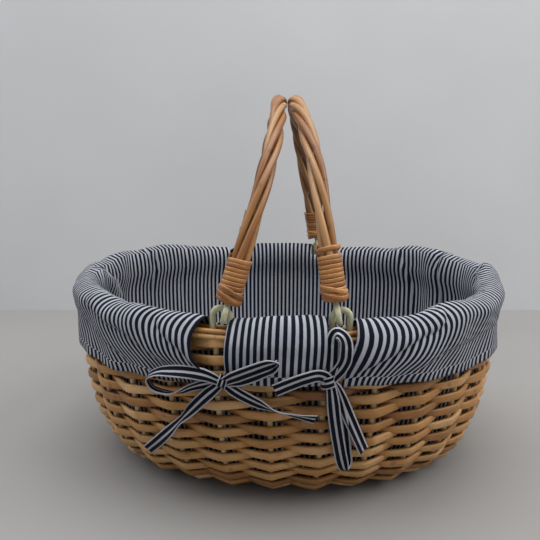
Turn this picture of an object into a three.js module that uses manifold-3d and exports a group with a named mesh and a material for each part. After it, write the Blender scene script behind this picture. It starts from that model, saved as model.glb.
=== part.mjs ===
// A lined oval willow basket with a pair of swing handles that lean together over the middle.
// Millimetres, +Z up. The long side runs along X and the front faces -Y.
import * as THREE from 'three';
import { mergeVertices } from 'three/addons/utils/BufferGeometryUtils.js';
import Module from 'manifold-3d';

const wasm = await Module();
wasm.setup();

// Clearance between pieces that touch
const CLEARANCE = 0.3;

// Points nearer to each other than this are one point
const WELD = 2e-3;

// Woven wall, measured on the oval that the middle of the wall follows
const BASE_HALF_LENGTH = 147.5;
const BASE_HALF_WIDTH = 82.5;
const RIM_HALF_LENGTH = 192.8;
const RIM_HALF_WIDTH = 142.8;
const WALL_THICKNESS = 10.4;
const WALL_TOP = 158.8;
const FOOT_SPREAD = 53;
const SHOULDER_OVERHANG = 5.3;
const SHOULDER_DROP = 10;
const OVAL_SEGMENTS = 40;
const WALL_LEVELS = 6;
const WALL_LEVEL_CROWDING = 1.3;

// Rows of the weave, which stand out in front of every second stake and sink in at the next
const WEAVE_ROWS = 38;
const WEAVE_RELIEF = 2.2;

// Stakes
const STAKE_COUNT = 26;
const STAKE_DIAMETER = 4.4;
const STAKE_FOOT = 9;
const STAKE_TOP_DROP = 1.3;
const STAKE_OFFSET = -8.4;
const STAKE_SIDES = 5;

// Rolled border
const BORDER_ROD_DIAMETER = 4;
const BORDER_CORE_THICKNESS = 4.8;
const BORDER_ROD_SIDES = 5;

// Rings of cord in the border
const CORD_DIAMETER = 4.6;
const CORD_SIDES = 6;
const RING_STEPS = 10;
const RING_FRONT_X = 45;
const RING_BACK_LEFT_X = 58;
const RING_BACK_RIGHT_X = 38;
const RING_INNER_WIDTH = 8.8;
const RING_RISE = 17.6;
const RING_DEPTH = 4.2;

// Cord links that hang the handles on the rings
const LINK_DIAMETER = 4.4;
const LINK_STEPS = 14;
const LINK_SPREAD = 6.9;
const LINK_NECK = 3.5;
const PIVOT_RISE = 6.1;

// Handles
const HANDLE_HEIGHT = 345.5;
const HANDLE_ROD_DIAMETER = 5.6;
const HANDLE_ROD_RING = 4.35;
const HANDLE_RODS = 4;
const HANDLE_TURNS = 2.2;
const HANDLE_TIP_GAP = 0.5;
const HANDLE_FRONT_BOW = 4.5;
const ROD_START = 21;
const ROD_SIDES = 5;
const ROD_STEPS = 28;

// Split willow wound round the ends of the handle rods
const BINDING_DIAMETER = 2;
const BINDING_START = 15;
const BINDING_TURNS = 13;
const BINDING_GAP = 0.6;
const BINDING_STEPS = 7;
const BINDING_SIDES = 5;

// Cloth liner: a bag inside, a fold over the border and a skirt outside
const CLOTH_THICKNESS = 2;
const SKIRT_EASE = 1.1;
const SKIRT_PUFF = 5.7;
const SKIRT_LENGTH = 36.5;
const SKIRT_END_LENGTH = 56.5;
const FOLD_RISE = 8.5;
const FOLD_PRESSED_RISE = 2.3;
const FOLD_PRESSED_REACH = 20;
const FOLD_FULL_REACH = 42;
const SKIRT_FOLD_COUNT = 14;
const SKIRT_FOLD_DEPTH = 1.6;
const SKIRT_FOLD_SLANT = 1.6;
const SLOT_OUTER = 18;
const SLOT_INNER = 10;
const SLOT_BAG_DEPTH = 11;

// Ribbon bows that tie the skirt at the slots
const RIBBON_WIDTH = 8;
const RIBBON_THICKNESS = 1.4;
const KNOT_SIZE = 9;
const KNOT_TILT = 0.4;
const RIBBON_EASE = 0.75;
const RIBBON_HANG = 40;
const RIBBON_LIE_IN = 1.5;
const BOW_SIDESTEP = 4;
const TURNED_KNOT_RISE = 3;

const FRONT = -1;
const BACK = 1;
const LEFT = -1;
const RIGHT = 1;
const FULL_TURN = 2 * Math.PI;

const willow = new THREE.MeshStandardMaterial({ color: 0xb98450, roughness: 0.55, metalness: 0 });
const darkWillow = new THREE.MeshStandardMaterial({ color: 0xa2662f, roughness: 0.5, metalness: 0 });
const cord = new THREE.MeshStandardMaterial({ color: 0xd9d3b4, roughness: 0.75, metalness: 0 });
const cloth = new THREE.MeshStandardMaterial({ color: 0x8f97a8, roughness: 0.9, metalness: 0 });

// Makes one closed surface of loose triangles, with its faces pointing out.
function closedSurface(loose) {
  const bare = new THREE.BufferGeometry();
  bare.setAttribute('position', loose.getAttribute('position'));
  if (loose.index) bare.setIndex(loose.index);
  const merged = mergeVertices(bare, WELD);
  const position = merged.getAttribute('position');
  const corner = (index) => new THREE.Vector3().fromBufferAttribute(position, index);
  const kept = [];
  let volume = 0;
  for (let i = 0; i < merged.index.count; i += 3) {
    const face = [merged.index.getX(i), merged.index.getX(i + 1), merged.index.getX(i + 2)];
    if (new Set(face).size < 3) continue;
    kept.push(face);
    volume += corner(face[0]).dot(corner(face[1]).cross(corner(face[2])));
  }
  const facing = volume < 0 ? kept.map(([a, b, c]) => [a, c, b]) : kept;
  merged.setIndex(facing.flat());
  merged.computeVertexNormals();
  return merged;
}

function toSolid(geometry) {
  return new wasm.Manifold(new wasm.Mesh({
    numProp: 3,
    vertProperties: new Float32Array(geometry.getAttribute('position').array),
    triVerts: new Uint32Array(geometry.index.array),
  }));
}

function toGeometry(solid) {
  const mesh = solid.getMesh();
  const geometry = new THREE.BufferGeometry();
  geometry.setAttribute('position', new THREE.BufferAttribute(mesh.vertProperties, mesh.numProp));
  geometry.setIndex(new THREE.BufferAttribute(mesh.triVerts, 1));
  return closedSurface(geometry);
}

function circlePoints(radius, sides) {
  return Array.from({ length: sides }, (_, i) => {
    const angle = (i / sides) * FULL_TURN;
    return new THREE.Vector2(radius * Math.cos(angle), radius * Math.sin(angle));
  });
}

function sweep(curve, outline, steps) {
  const section = new THREE.Shape(outline);
  const options = { steps, extrudePath: curve, bevelEnabled: false };
  return closedSurface(new THREE.ExtrudeGeometry(section, options));
}

function tube(curve, diameter, sides, steps) {
  return sweep(curve, circlePoints(diameter / 2, sides), steps);
}

// Middle of the wall, from the edge of the base up to the border: x is the reach along the length
const footHeight = CLEARANCE + WALL_THICKNESS / 2;
const wallProfile = new THREE.CubicBezierCurve(
  new THREE.Vector2(BASE_HALF_LENGTH, footHeight),
  new THREE.Vector2(BASE_HALF_LENGTH + FOOT_SPREAD, footHeight),
  new THREE.Vector2(RIM_HALF_LENGTH + SHOULDER_OVERHANG, WALL_TOP - SHOULDER_DROP),
  new THREE.Vector2(RIM_HALF_LENGTH, WALL_TOP),
);
const wallLength = wallProfile.getLength();
// Levels of the wall, closer together round the curve of its foot
const levels = Array.from({ length: WALL_LEVELS }, (_, i) => {
  return (i / (WALL_LEVELS - 1)) ** WALL_LEVEL_CROWDING;
});

function wallPoint(share, offset) {
  if (share === 1) return new THREE.Vector2(RIM_HALF_LENGTH + offset, WALL_TOP);
  const point = wallProfile.getPointAt(share);
  const tangent = wallProfile.getTangentAt(share);
  return new THREE.Vector2(point.x + offset * tangent.y, point.y - offset * tangent.x);
}

// Reach of the wall at a height, by halving the range of the share.
function wallReach(height, offset) {
  let low = 0;
  let high = 1;
  for (let i = 0; i < 30; i++) {
    const middle = (low + high) / 2;
    if (wallPoint(middle, offset).y < height) low = middle;
    else high = middle;
  }
  return wallPoint(low, offset).x;
}

// A point of the oval with a given reach at a given height, turned by an angle from +X.
function ovalPoint(reach, height, angle) {
  const rise = THREE.MathUtils.clamp(height / WALL_TOP, 0, 1);
  const baseSlimness = BASE_HALF_LENGTH - BASE_HALF_WIDTH;
  const rimSlimness = RIM_HALF_LENGTH - RIM_HALF_WIDTH;
  const slimness = THREE.MathUtils.lerp(baseSlimness, rimSlimness, rise);
  const inBase = reach <= BASE_HALF_LENGTH;
  const width = inBase ? (reach * BASE_HALF_WIDTH) / BASE_HALF_LENGTH : reach - slimness;
  return new THREE.Vector3(reach * Math.cos(angle), width * Math.sin(angle), height);
}

const evenAngles = Array.from({ length: OVAL_SEGMENTS }, (_, i) => (i / OVAL_SEGMENTS) * FULL_TURN);

// Carries a closed section, given for each angle, round the oval.
function ovalSkin(sectionAt, angles = evenAngles) {
  const rings = angles.map((angle, i) => {
    return sectionAt(angle, i).map((point) => ovalPoint(point.x, point.y, angle));
  });
  const points = [];
  rings.forEach((ring, i) => {
    const next = rings[(i + 1) % rings.length];
    ring.forEach((point, k) => {
      const after = (k + 1) % ring.length;
      points.push(point, next[k], next[after], point, next[after], ring[after]);
    });
  });
  return closedSurface(new THREE.BufferGeometry().setFromPoints(points));
}

const basket = new THREE.Group();

function addPiece(parent, name, geometry, material) {
  const mesh = new THREE.Mesh(geometry, material);
  mesh.name = name;
  parent.add(mesh);
  return mesh;
}

// A stake's centre line, straight between the levels of the wall, from its foot in the base.
// Its ends may be lengthened in line, so that a stake and its channel bend alike.
class StakeCurve extends THREE.Curve {
  constructor(angle, footSpare, topSpare) {
    super();
    const last = levels.length - 1;
    this.points = levels.map((share, i) => {
      if (i === 0) return ovalPoint(BASE_HALF_LENGTH - STAKE_FOOT, footHeight, angle);
      const along = i === last ? 1 - STAKE_TOP_DROP / wallLength : share;
      const point = wallProfile.getPointAt(along);
      return ovalPoint(point.x, point.y, angle);
    });
    const lengthen = (end, next, spare) => {
      const outward = this.points[end].clone().sub(this.points[next]).normalize();
      this.points[end].addScaledVector(outward, spare);
    };
    lengthen(0, 1, footSpare);
    lengthen(last, last - 1, topSpare);
  }

  getUtoTmapping(u) {
    return u;
  }

  getPoint(t) {
    const place = t * (this.points.length - 1);
    const stop = Math.min(Math.floor(place), this.points.length - 2);
    return this.points[stop].clone().lerp(this.points[stop + 1], place - stop);
  }
}

// Stake angles, evenly spaced along the rim from the front centre
const rimOval = new THREE.EllipseCurve(0, 0, RIM_HALF_LENGTH, RIM_HALF_WIDTH);
const stakeAngles = Array.from({ length: STAKE_COUNT }, (_, i) => {
  const share = 0.75 + i / STAKE_COUNT + STAKE_OFFSET / rimOval.getLength();
  return rimOval.getUtoTmapping(share % 1) * FULL_TURN;
});

// Outer side of the wall at a stake, filled to the axis. The first row lies flat all round.
function wovenSection(angle, stake) {
  const rows = Array.from({ length: WEAVE_ROWS }, (_, row) => {
    const sunk = row > 0 && (stake + row) % 2 === 1;
    const share = (row + 0.5) / WEAVE_ROWS;
    return wallPoint(share, WALL_THICKNESS / 2 - (sunk ? WEAVE_RELIEF : 0));
  });
  return [
    new THREE.Vector2(0, rows[0].y),
    ...rows,
    wallPoint(1, WALL_THICKNESS / 2),
    new THREE.Vector2(0, WALL_TOP),
  ];
}

// Woven base and wall, with a channel for each stake
const baseSection = () => [
  new THREE.Vector2(0, 0),
  new THREE.Vector2(BASE_HALF_LENGTH - CLEARANCE, 0),
  new THREE.Vector2(BASE_HALF_LENGTH - CLEARANCE, WALL_THICKNESS + CLEARANCE),
  new THREE.Vector2(0, WALL_THICKNESS + CLEARANCE),
];
const hollowSection = () => [
  new THREE.Vector2(0, -WALL_THICKNESS),
  new THREE.Vector2(BASE_HALF_LENGTH, -WALL_THICKNESS),
  ...levels.map((share) => wallPoint(share, -WALL_THICKNESS / 2)),
  new THREE.Vector2(RIM_HALF_LENGTH - WALL_THICKNESS / 2, WALL_TOP + WALL_THICKNESS),
  new THREE.Vector2(0, WALL_TOP + WALL_THICKNESS),
];
let baseSolid = toSolid(ovalSkin(baseSection));
let wallSolid = toSolid(ovalSkin(wovenSection, stakeAngles)).subtract(toSolid(ovalSkin(hollowSection)));
stakeAngles.forEach((angle, i) => {
  const stake = new StakeCurve(angle, 0, 0);
  const channel = new StakeCurve(angle, CLEARANCE, STAKE_TOP_DROP + STAKE_DIAMETER);
  const channelSolid = toSolid(tube(channel, STAKE_DIAMETER + 2 * CLEARANCE, STAKE_SIDES, WALL_LEVELS - 1));
  baseSolid = baseSolid.subtract(channelSolid);
  wallSolid = wallSolid.subtract(channelSolid);
  const name = `stake_${String(i + 1).padStart(2, '0')}`;
  addPiece(basket, name, tube(stake, STAKE_DIAMETER, STAKE_SIDES, WALL_LEVELS - 1), willow);
});
addPiece(basket, 'base_weave', toGeometry(baseSolid), willow);
addPiece(basket, 'wall_weave', toGeometry(wallSolid), willow);

// Rolled border: a core of bent stake tips between two rods outside and two inside
const rodRadius = BORDER_ROD_DIAMETER / 2;
const rodOffset = BORDER_CORE_THICKNESS / 2 + CLEARANCE + rodRadius;
const lowRodHeight = WALL_TOP + CLEARANCE + rodRadius;
const topRodHeight = lowRodHeight + BORDER_ROD_DIAMETER + CLEARANCE;
const borderTop = topRodHeight + rodRadius;
const borderReach = rodOffset + rodRadius;
const coreBottom = WALL_TOP + CLEARANCE;
const coreTop = borderTop - CLEARANCE;

function borderRod(offset, height) {
  const section = circlePoints(rodRadius, BORDER_ROD_SIDES);
  const middle = new THREE.Vector2(RIM_HALF_LENGTH + offset, height);
  return ovalSkin(() => section.map((point) => point.clone().add(middle)));
}

addPiece(basket, 'border_rod_outer_top', borderRod(rodOffset, topRodHeight), willow);
addPiece(basket, 'border_rod_outer_low', borderRod(rodOffset, lowRodHeight), willow);
addPiece(basket, 'border_rod_inner_top', borderRod(-rodOffset, topRodHeight), willow);
addPiece(basket, 'border_rod_inner_low', borderRod(-rodOffset, lowRodHeight), willow);

const coreSection = () => {
  const inner = RIM_HALF_LENGTH - BORDER_CORE_THICKNESS / 2;
  const outer = RIM_HALF_LENGTH + BORDER_CORE_THICKNESS / 2;
  return [
    new THREE.Vector2(inner, coreBottom),
    new THREE.Vector2(outer, coreBottom),
    new THREE.Vector2(outer, coreTop),
    new THREE.Vector2(inner, coreTop),
  ];
};
let coreSolid = toSolid(ovalSkin(coreSection));

// A place on the rim oval: its point and the direction along the rim towards the middle of the side
function rimPlace(x, face) {
  const y = face * RIM_HALF_WIDTH * Math.sqrt(1 - (x / RIM_HALF_LENGTH) ** 2);
  const slope = (-x * RIM_HALF_WIDTH ** 2) / (y * RIM_HALF_LENGTH ** 2);
  return { x, y, turn: Math.atan(slope) };
}

function placeOnRim(mesh, place) {
  mesh.position.set(place.x, place.y, 0);
  mesh.rotation.z = place.turn;
}

// Rings: an arch of cord on two straight legs that stand in the border core
const ringHalf = RING_INNER_WIDTH / 2 + CORD_DIAMETER / 2;
const ringTop = borderTop + RING_RISE;
const archHeight = ringTop - CORD_DIAMETER / 2 - ringHalf;
const ringFoot = coreTop - RING_DEPTH;

function ringCurve(foot) {
  const arch = Array.from({ length: 7 }, (_, i) => {
    const angle = Math.PI * (1 - i / 6);
    return new THREE.Vector3(ringHalf * Math.cos(angle), 0, archHeight + ringHalf * Math.sin(angle));
  });
  const left = new THREE.Vector3(-ringHalf, 0, foot);
  const right = new THREE.Vector3(ringHalf, 0, foot);
  return new THREE.CatmullRomCurve3([left, ...arch, right], false, 'centripetal');
}

const ringGeometry = tube(ringCurve(ringFoot), CORD_DIAMETER, CORD_SIDES, RING_STEPS);
const pocketDiameter = CORD_DIAMETER + 2 * CLEARANCE;
const pocketGeometry = tube(ringCurve(ringFoot - CLEARANCE), pocketDiameter, CORD_SIDES, RING_STEPS);
const ringSeats = [
  { name: 'front_left', x: LEFT * RING_FRONT_X, face: FRONT },
  { name: 'front_right', x: RIGHT * RING_FRONT_X, face: FRONT },
  { name: 'back_left', x: LEFT * RING_BACK_LEFT_X, face: BACK },
  { name: 'back_right', x: RIGHT * RING_BACK_RIGHT_X, face: BACK },
];
ringSeats.forEach((seat) => {
  const place = rimPlace(seat.x, seat.face);
  placeOnRim(addPiece(basket, `ring_${seat.name}`, ringGeometry, cord), place);
  const pocket = addPiece(new THREE.Group(), 'pocket', pocketGeometry, cord);
  placeOnRim(pocket, place);
  pocket.updateMatrixWorld(true);
  coreSolid = coreSolid.subtract(toSolid(pocketGeometry.clone().applyMatrix4(pocket.matrixWorld)));
});
addPiece(basket, 'border_core', toGeometry(coreSolid), willow);

// Handle arch, from the front pivot over the tip to the back pivot, its front leg a little bowed
class HandleArch extends THREE.Curve {
  constructor(front, back, tip) {
    super();
    this.front = front;
    this.middle = front.clone().add(back).multiplyScalar(0.5);
    this.rise = tip.clone().sub(this.middle);
  }

  getPoint(t) {
    const angle = Math.PI * t;
    const bow = t < 0.5 ? HANDLE_FRONT_BOW * Math.sin(2 * angle) ** 2 : 0;
    const point = this.middle.clone();
    point.addScaledVector(this.front.clone().sub(this.middle), Math.cos(angle));
    point.addScaledVector(this.rise, Math.sin(angle));
    point.x += bow;
    return point;
  }

  // A point at a distance along the arch, off its centre line by a radius at an angle round it.
  around(distance, radius, angle) {
    const share = distance / this.getLength();
    const tangent = this.getTangentAt(share);
    const across = this.front.clone().sub(this.middle).cross(this.rise).normalize();
    across.addScaledVector(tangent, -across.dot(tangent)).normalize();
    const third = new THREE.Vector3().crossVectors(tangent, across);
    const point = this.getPointAt(share);
    point.addScaledVector(across, radius * Math.cos(angle));
    return point.addScaledVector(third, radius * Math.sin(angle));
  }
}

// A handle rod: straight at both ends, twisted with the others, most tightly at the tip
class RodCurve extends THREE.Curve {
  constructor(arch, start, sense) {
    super();
    Object.assign(this, { arch, start, sense });
  }

  getPoint(t) {
    const distance = THREE.MathUtils.lerp(ROD_START, this.arch.getLength() - ROD_START, t);
    const twist = t - Math.sin(FULL_TURN * t) / FULL_TURN;
    const angle = this.start + this.sense * HANDLE_TURNS * FULL_TURN * twist;
    return this.arch.around(distance, HANDLE_ROD_RING, angle);
  }
}

// A binding: one strip wound round the rods from its lower end up, with straight ends
const bundleRadius = HANDLE_ROD_RING + HANDLE_ROD_DIAMETER / 2;
const bindingRing = (bundleRadius + CLEARANCE + BINDING_DIAMETER / 2) / Math.cos(Math.PI / BINDING_STEPS);
const bindingPitch = BINDING_DIAMETER + BINDING_GAP;

class BindingCurve extends THREE.Curve {
  constructor(arch, atBack) {
    super();
    Object.assign(this, { arch, atBack });
    this.arcLengthDivisions = BINDING_TURNS * 24;
  }

  turn(turns) {
    const along = BINDING_START + BINDING_DIAMETER / 2 + turns * bindingPitch;
    const distance = this.atBack ? this.arch.getLength() - along : along;
    return this.arch.around(distance, bindingRing, turns * FULL_TURN);
  }

  getPoint(t) {
    const run = BINDING_DIAMETER / (FULL_TURN * bindingRing);
    const turns = t * (BINDING_TURNS + 2 * run) - run;
    const end = THREE.MathUtils.clamp(turns, 0, BINDING_TURNS);
    const point = this.turn(end);
    if (turns === end) return point;
    const step = 1e-3;
    const tangent = this.turn(end + step).sub(this.turn(end - step)).normalize();
    return point.addScaledVector(tangent, (turns - end) * FULL_TURN * bindingRing);
  }
}

// Least distance between the surfaces of neighbouring turns, measured on points.
function leastSelfGap(curve) {
  const perTurn = 24;
  const points = curve.getSpacedPoints(BINDING_TURNS * perTurn);
  let least = Infinity;
  points.forEach((point, i) => {
    points.slice(i + perTurn / 2).forEach((other) => {
      least = Math.min(least, point.distanceTo(other));
    });
  });
  return least - BINDING_DIAMETER;
}

// The link's loop: two ends in the binding, a wide body round the ring and a bar through it
function linkCurve(arch, atBack, along) {
  const bend = LINK_DIAMETER / 2;
  const half = [
    [LINK_NECK, ROD_START - CLEARANCE],
    [LINK_NECK, ROD_START - CLEARANCE - bend],
    [LINK_NECK, BINDING_START],
    [LINK_SPREAD, BINDING_START / 2],
    [LINK_SPREAD, bend],
    [LINK_SPREAD - bend, 0],
  ];
  const mirrored = half.map(([spread, height]) => [-spread, height]).reverse();
  const points = [...half, ...mirrored].map(([spread, height]) => {
    const share = atBack ? 1 - height / arch.getLength() : height / arch.getLength();
    const tangent = arch.getTangentAt(share);
    const square = along.clone().addScaledVector(tangent, -along.dot(tangent)).normalize();
    return arch.getPointAt(share).addScaledVector(square, spread);
  });
  return new THREE.CatmullRomCurve3(points, false, 'centripetal');
}

const pivotHeight = borderTop + PIVOT_RISE;
const pivotOffset = (RING_INNER_WIDTH - LINK_DIAMETER) / 2 - 2 * CLEARANCE;
const handleReports = [];

function addHandle(side, label, ringBackX) {
  const handle = new THREE.Group();
  const pivotAt = (x, face) => {
    const place = rimPlace(side * (x - pivotOffset), face);
    return new THREE.Vector3(place.x, place.y, pivotHeight);
  };
  const front = pivotAt(RING_FRONT_X, FRONT);
  const back = pivotAt(ringBackX, BACK);
  const tipX = side * (bundleRadius + HANDLE_TIP_GAP / 2);
  const tip = new THREE.Vector3(tipX, (front.y + back.y) / 2, HANDLE_HEIGHT - bundleRadius);
  const arch = new HandleArch(front, back, tip);
  const axis = back.clone().sub(front).normalize();

  for (let i = 0; i < HANDLE_RODS; i++) {
    const rod = new RodCurve(arch, (i / HANDLE_RODS) * FULL_TURN, side);
    const geometry = tube(rod, HANDLE_ROD_DIAMETER, ROD_SIDES, ROD_STEPS);
    addPiece(handle, `handle_${label}_rod_${i + 1}`, geometry, willow);
  }
  [['front', false], ['back', true]].forEach(([end, atBack]) => {
    const binding = new BindingCurve(arch, atBack);
    const steps = BINDING_TURNS * BINDING_STEPS;
    const wound = tube(binding, BINDING_DIAMETER, BINDING_SIDES, steps);
    addPiece(handle, `handle_${label}_binding_${end}`, wound, darkWillow);
    handleReports.push(leastSelfGap(binding));
    const link = tube(linkCurve(arch, atBack, axis), LINK_DIAMETER, CORD_SIDES, LINK_STEPS);
    addPiece(handle, `handle_${label}_link_${end}`, link, cord);
  });
  basket.add(handle);
}

addHandle(LEFT, 'left', RING_BACK_LEFT_X);
addHandle(RIGHT, 'right', RING_BACK_RIGHT_X);
console.log(`least gap of a binding to itself: ${Math.min(...handleReports).toFixed(2)} mm`);

// Skirt and fold of the liner at an angle round the oval
function hemHeight(angle) {
  return borderTop - THREE.MathUtils.lerp(SKIRT_LENGTH, SKIRT_END_LENGTH, Math.cos(angle) ** 2);
}

function foldRise(angle) {
  const backX = Math.cos(angle) < 0 ? RING_BACK_LEFT_X : RING_BACK_RIGHT_X;
  const ringX = Math.sin(angle) < 0 ? RING_FRONT_X : backX;
  const beyond = Math.abs(RIM_HALF_LENGTH * Math.cos(angle)) - ringX;
  if (beyond < -SLOT_INNER) return FOLD_RISE;
  const puffed = THREE.MathUtils.smoothstep(beyond, FOLD_PRESSED_REACH, FOLD_FULL_REACH);
  return THREE.MathUtils.lerp(FOLD_PRESSED_RISE, FOLD_RISE, puffed);
}

function skirtFold(angle, drop) {
  const onEnds = THREE.MathUtils.smoothstep(Math.abs(Math.cos(angle)), 0.35, 0.6);
  const slant = SKIRT_FOLD_SLANT * drop * Math.sign(Math.cos(angle));
  return SKIRT_FOLD_DEPTH * onEnds * Math.sin(SKIRT_FOLD_COUNT * angle + slant);
}

const linerGap = WALL_THICKNESS / 2 + CLEARANCE;
const clothInside = linerGap + CLOTH_THICKNESS;
const bagShares = [levels[0], levels[1], levels[3]];

function linerSection(angle) {
  const hem = hemHeight(angle);
  const floor = WALL_THICKNESS + 2 * CLEARANCE;
  const inner = RIM_HALF_LENGTH - borderReach - CLEARANCE;
  const outer = RIM_HALF_LENGTH + borderReach + CLEARANCE;
  const over = borderTop + CLEARANCE;
  const crown = borderTop + foldRise(angle);
  const middle = (hem + borderTop) / 2;
  const against = (height) => wallReach(height, WALL_THICKNESS / 2) + SKIRT_EASE;
  const proud = SKIRT_PUFF + skirtFold(angle, 1);
  return [
    new THREE.Vector2(0, floor),
    ...bagShares.map((share) => wallPoint(share, -linerGap)),
    new THREE.Vector2(inner, WALL_TOP),
    new THREE.Vector2(inner, over),
    new THREE.Vector2(outer, over),
    new THREE.Vector2(Math.max(outer, against(WALL_TOP)), WALL_TOP),
    new THREE.Vector2(against(middle), middle),
    new THREE.Vector2(against(hem), hem),
    new THREE.Vector2(against(hem) + CLOTH_THICKNESS + skirtFold(angle, 2), hem),
    new THREE.Vector2(against(middle) + proud, middle),
    new THREE.Vector2(outer + CLOTH_THICKNESS + skirtFold(angle, 0) / 2, borderTop - rodRadius),
    new THREE.Vector2(outer - CLOTH_THICKNESS, crown),
    new THREE.Vector2(inner, crown),
    new THREE.Vector2(inner - CLOTH_THICKNESS, WALL_TOP),
    ...bagShares.map((share) => wallPoint(share, -clothInside)).reverse(),
    new THREE.Vector2(0, floor + CLOTH_THICKNESS),
  ];
}

// Slots at the rings: right through the skirt, and through the fold as deep as the link needs
let linerSolid = toSolid(ovalSkin(linerSection));
ringSeats.forEach((seat) => {
  const place = rimPlace(seat.x, seat.face);
  const outward = Math.sign(seat.x);
  const width = SLOT_OUTER + SLOT_INNER;
  const height = 2 * WALL_TOP;
  const cuts = [
    { depth: WALL_THICKNESS * 4, bottom: 0, back: 0 },
    { depth: SLOT_BAG_DEPTH + 1, bottom: coreTop - CORD_DIAMETER, back: -SLOT_BAG_DEPTH },
  ];
  cuts.forEach((cut) => {
    const block = new THREE.Mesh(new THREE.BoxGeometry(width, cut.depth, height));
    block.position.set(
      (outward * (SLOT_OUTER - SLOT_INNER)) / 2,
      seat.face * (cut.back + cut.depth / 2),
      cut.bottom + height / 2,
    );
    const frame = new THREE.Group();
    placeOnRim(frame, place);
    frame.add(block);
    frame.updateMatrixWorld(true);
    const blockGeometry = closedSurface(block.geometry).applyMatrix4(block.matrixWorld);
    linerSolid = linerSolid.subtract(toSolid(blockGeometry));
  });
});
addPiece(basket, 'liner', toGeometry(linerSolid), cloth);

// How far a ribbon stands from the long middle plane. Its knot lies on the wall in a slot, or on
// the skirt beside one, and behind is how far that stands out from the wall.
function ribbonReach(x, height, behind) {
  const hem = borderTop - SKIRT_LENGTH;
  const risen = THREE.MathUtils.clamp((height - hem) / (SKIRT_LENGTH / 2), 0, 1);
  const fallen = THREE.MathUtils.clamp((hem - height) / RIBBON_HANG, 0, 1);
  const proud = KNOT_SIZE / 2 + risen * (SKIRT_PUFF - CLOTH_THICKNESS) - fallen * RIBBON_LIE_IN;
  const reach = wallReach(height, WALL_THICKNESS / 2) + behind + RIBBON_EASE + proud;
  return Math.abs(ovalPoint(reach, height, Math.acos(x / reach)).y);
}

// Strokes of a ribbon, in millimetres along the skirt and up from the knot
const loose = {
  loopOut: [[-3, 1], [-30, 6], [-54, 2], [-59, -4], [-50, -9], [-28, -8], [-3, -2]],
  loopIn: [[2, 1], [22, 9], [40, 13], [38, 7], [18, 0], [2, -2]],
  tailOut: [[-2, -2], [-24, -20], [-57, -51]],
  tailIn: [[2, -2], [28, -12], [68, -27]],
};
const turned = {
  loopOut: [[3, 2], [9, 15], [13, 26], [8, 32], [1, 26], [-2, 13], [-1, 2]],
  loopIn: [[1, -3], [2, -34], [8, -66], [14, -67], [12, -34], [4, -3]],
  tailOut: [[-2, 0], [-20, -2], [-41, -9]],
  tailIn: [[3, -3], [14, -26], [26, -54]],
};

function addBow(name, strokes, anchorX, height, behind, face) {
  const onSkirt = ([u, v]) => {
    const x = anchorX - face * u;
    return new THREE.Vector3(x, face * ribbonReach(x, height + v, behind), height + v);
  };
  const half = RIBBON_THICKNESS / 2;
  const outline = [[-half, -1], [half, -1], [half, 1], [-half, 1]].map(
    ([thick, wide]) => new THREE.Vector2(thick, (wide * RIBBON_WIDTH) / 4),
  );
  const knot = new THREE.SphereGeometry(KNOT_SIZE / 2, 6, 3).rotateY(KNOT_TILT).rotateX(KNOT_TILT);
  const centre = onSkirt([0, 0]);
  let solid = toSolid(closedSurface(knot.translate(centre.x, centre.y, centre.z)));
  Object.values(strokes).forEach((stroke) => {
    const curve = new THREE.CatmullRomCurve3(stroke.map(onSkirt), false, 'centripetal');
    solid = solid.add(toSolid(sweep(curve, outline, stroke.length)));
  });
  addPiece(basket, name, toGeometry(solid), cloth);
}

const looseHeight = borderTop - SKIRT_LENGTH;
const turnedHeight = looseHeight + TURNED_KNOT_RISE;
const onSkirtHem = SKIRT_EASE + CLOTH_THICKNESS;
const frontTurnedX = RING_FRONT_X - 2 * BOW_SIDESTEP;
const backLooseX = RING_BACK_RIGHT_X + BOW_SIDESTEP;
const backTurnedX = RING_BACK_LEFT_X + BOW_SIDESTEP;
addBow('bow_front_left', loose, LEFT * (RING_FRONT_X - BOW_SIDESTEP), looseHeight, 0, FRONT);
addBow('bow_front_right', turned, RIGHT * frontTurnedX, turnedHeight, onSkirtHem, FRONT);
addBow('bow_back_right', loose, RIGHT * backLooseX, looseHeight, 0, BACK);
addBow('bow_back_left', turned, LEFT * backTurnedX, turnedHeight, 0, BACK);

export default basket;
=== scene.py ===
"""Looks of a lined oval willow basket with two swing handles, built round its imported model.

Lengths are in metres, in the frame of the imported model: +X to the right, +Y to the back, +Z up.
"""

import logging
import math
from dataclasses import dataclass, field
from enum import Enum

import bmesh
import bpy
import numpy as np
from bpy.types import ID, Material, Node, NodeSocket, NodeTree, Object
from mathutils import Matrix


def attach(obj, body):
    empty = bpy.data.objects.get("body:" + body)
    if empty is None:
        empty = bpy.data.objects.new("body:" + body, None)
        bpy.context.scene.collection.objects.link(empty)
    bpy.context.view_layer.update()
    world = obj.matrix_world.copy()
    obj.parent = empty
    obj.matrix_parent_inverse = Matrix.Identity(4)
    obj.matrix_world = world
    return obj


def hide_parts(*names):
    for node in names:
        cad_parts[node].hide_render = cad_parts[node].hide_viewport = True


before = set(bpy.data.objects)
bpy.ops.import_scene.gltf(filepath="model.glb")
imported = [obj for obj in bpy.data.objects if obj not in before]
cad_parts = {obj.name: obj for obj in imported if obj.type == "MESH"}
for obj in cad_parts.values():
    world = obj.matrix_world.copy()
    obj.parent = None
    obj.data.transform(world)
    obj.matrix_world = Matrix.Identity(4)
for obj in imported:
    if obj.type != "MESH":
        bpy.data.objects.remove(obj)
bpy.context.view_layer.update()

LOG = logging.getLogger("basket")
TURN = 2 * math.pi
ROLL_UNIT = 0.0002
CLOTH_GLOSS = {"Roughness": 0.85, "Sheen Weight": 0.02, "Specular IOR Level": 0.12}
Array = np.ndarray


class Side(Enum):
    """The two ends of the basket, with their sign along X."""

    LEFT = -1
    RIGHT = 1


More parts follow.
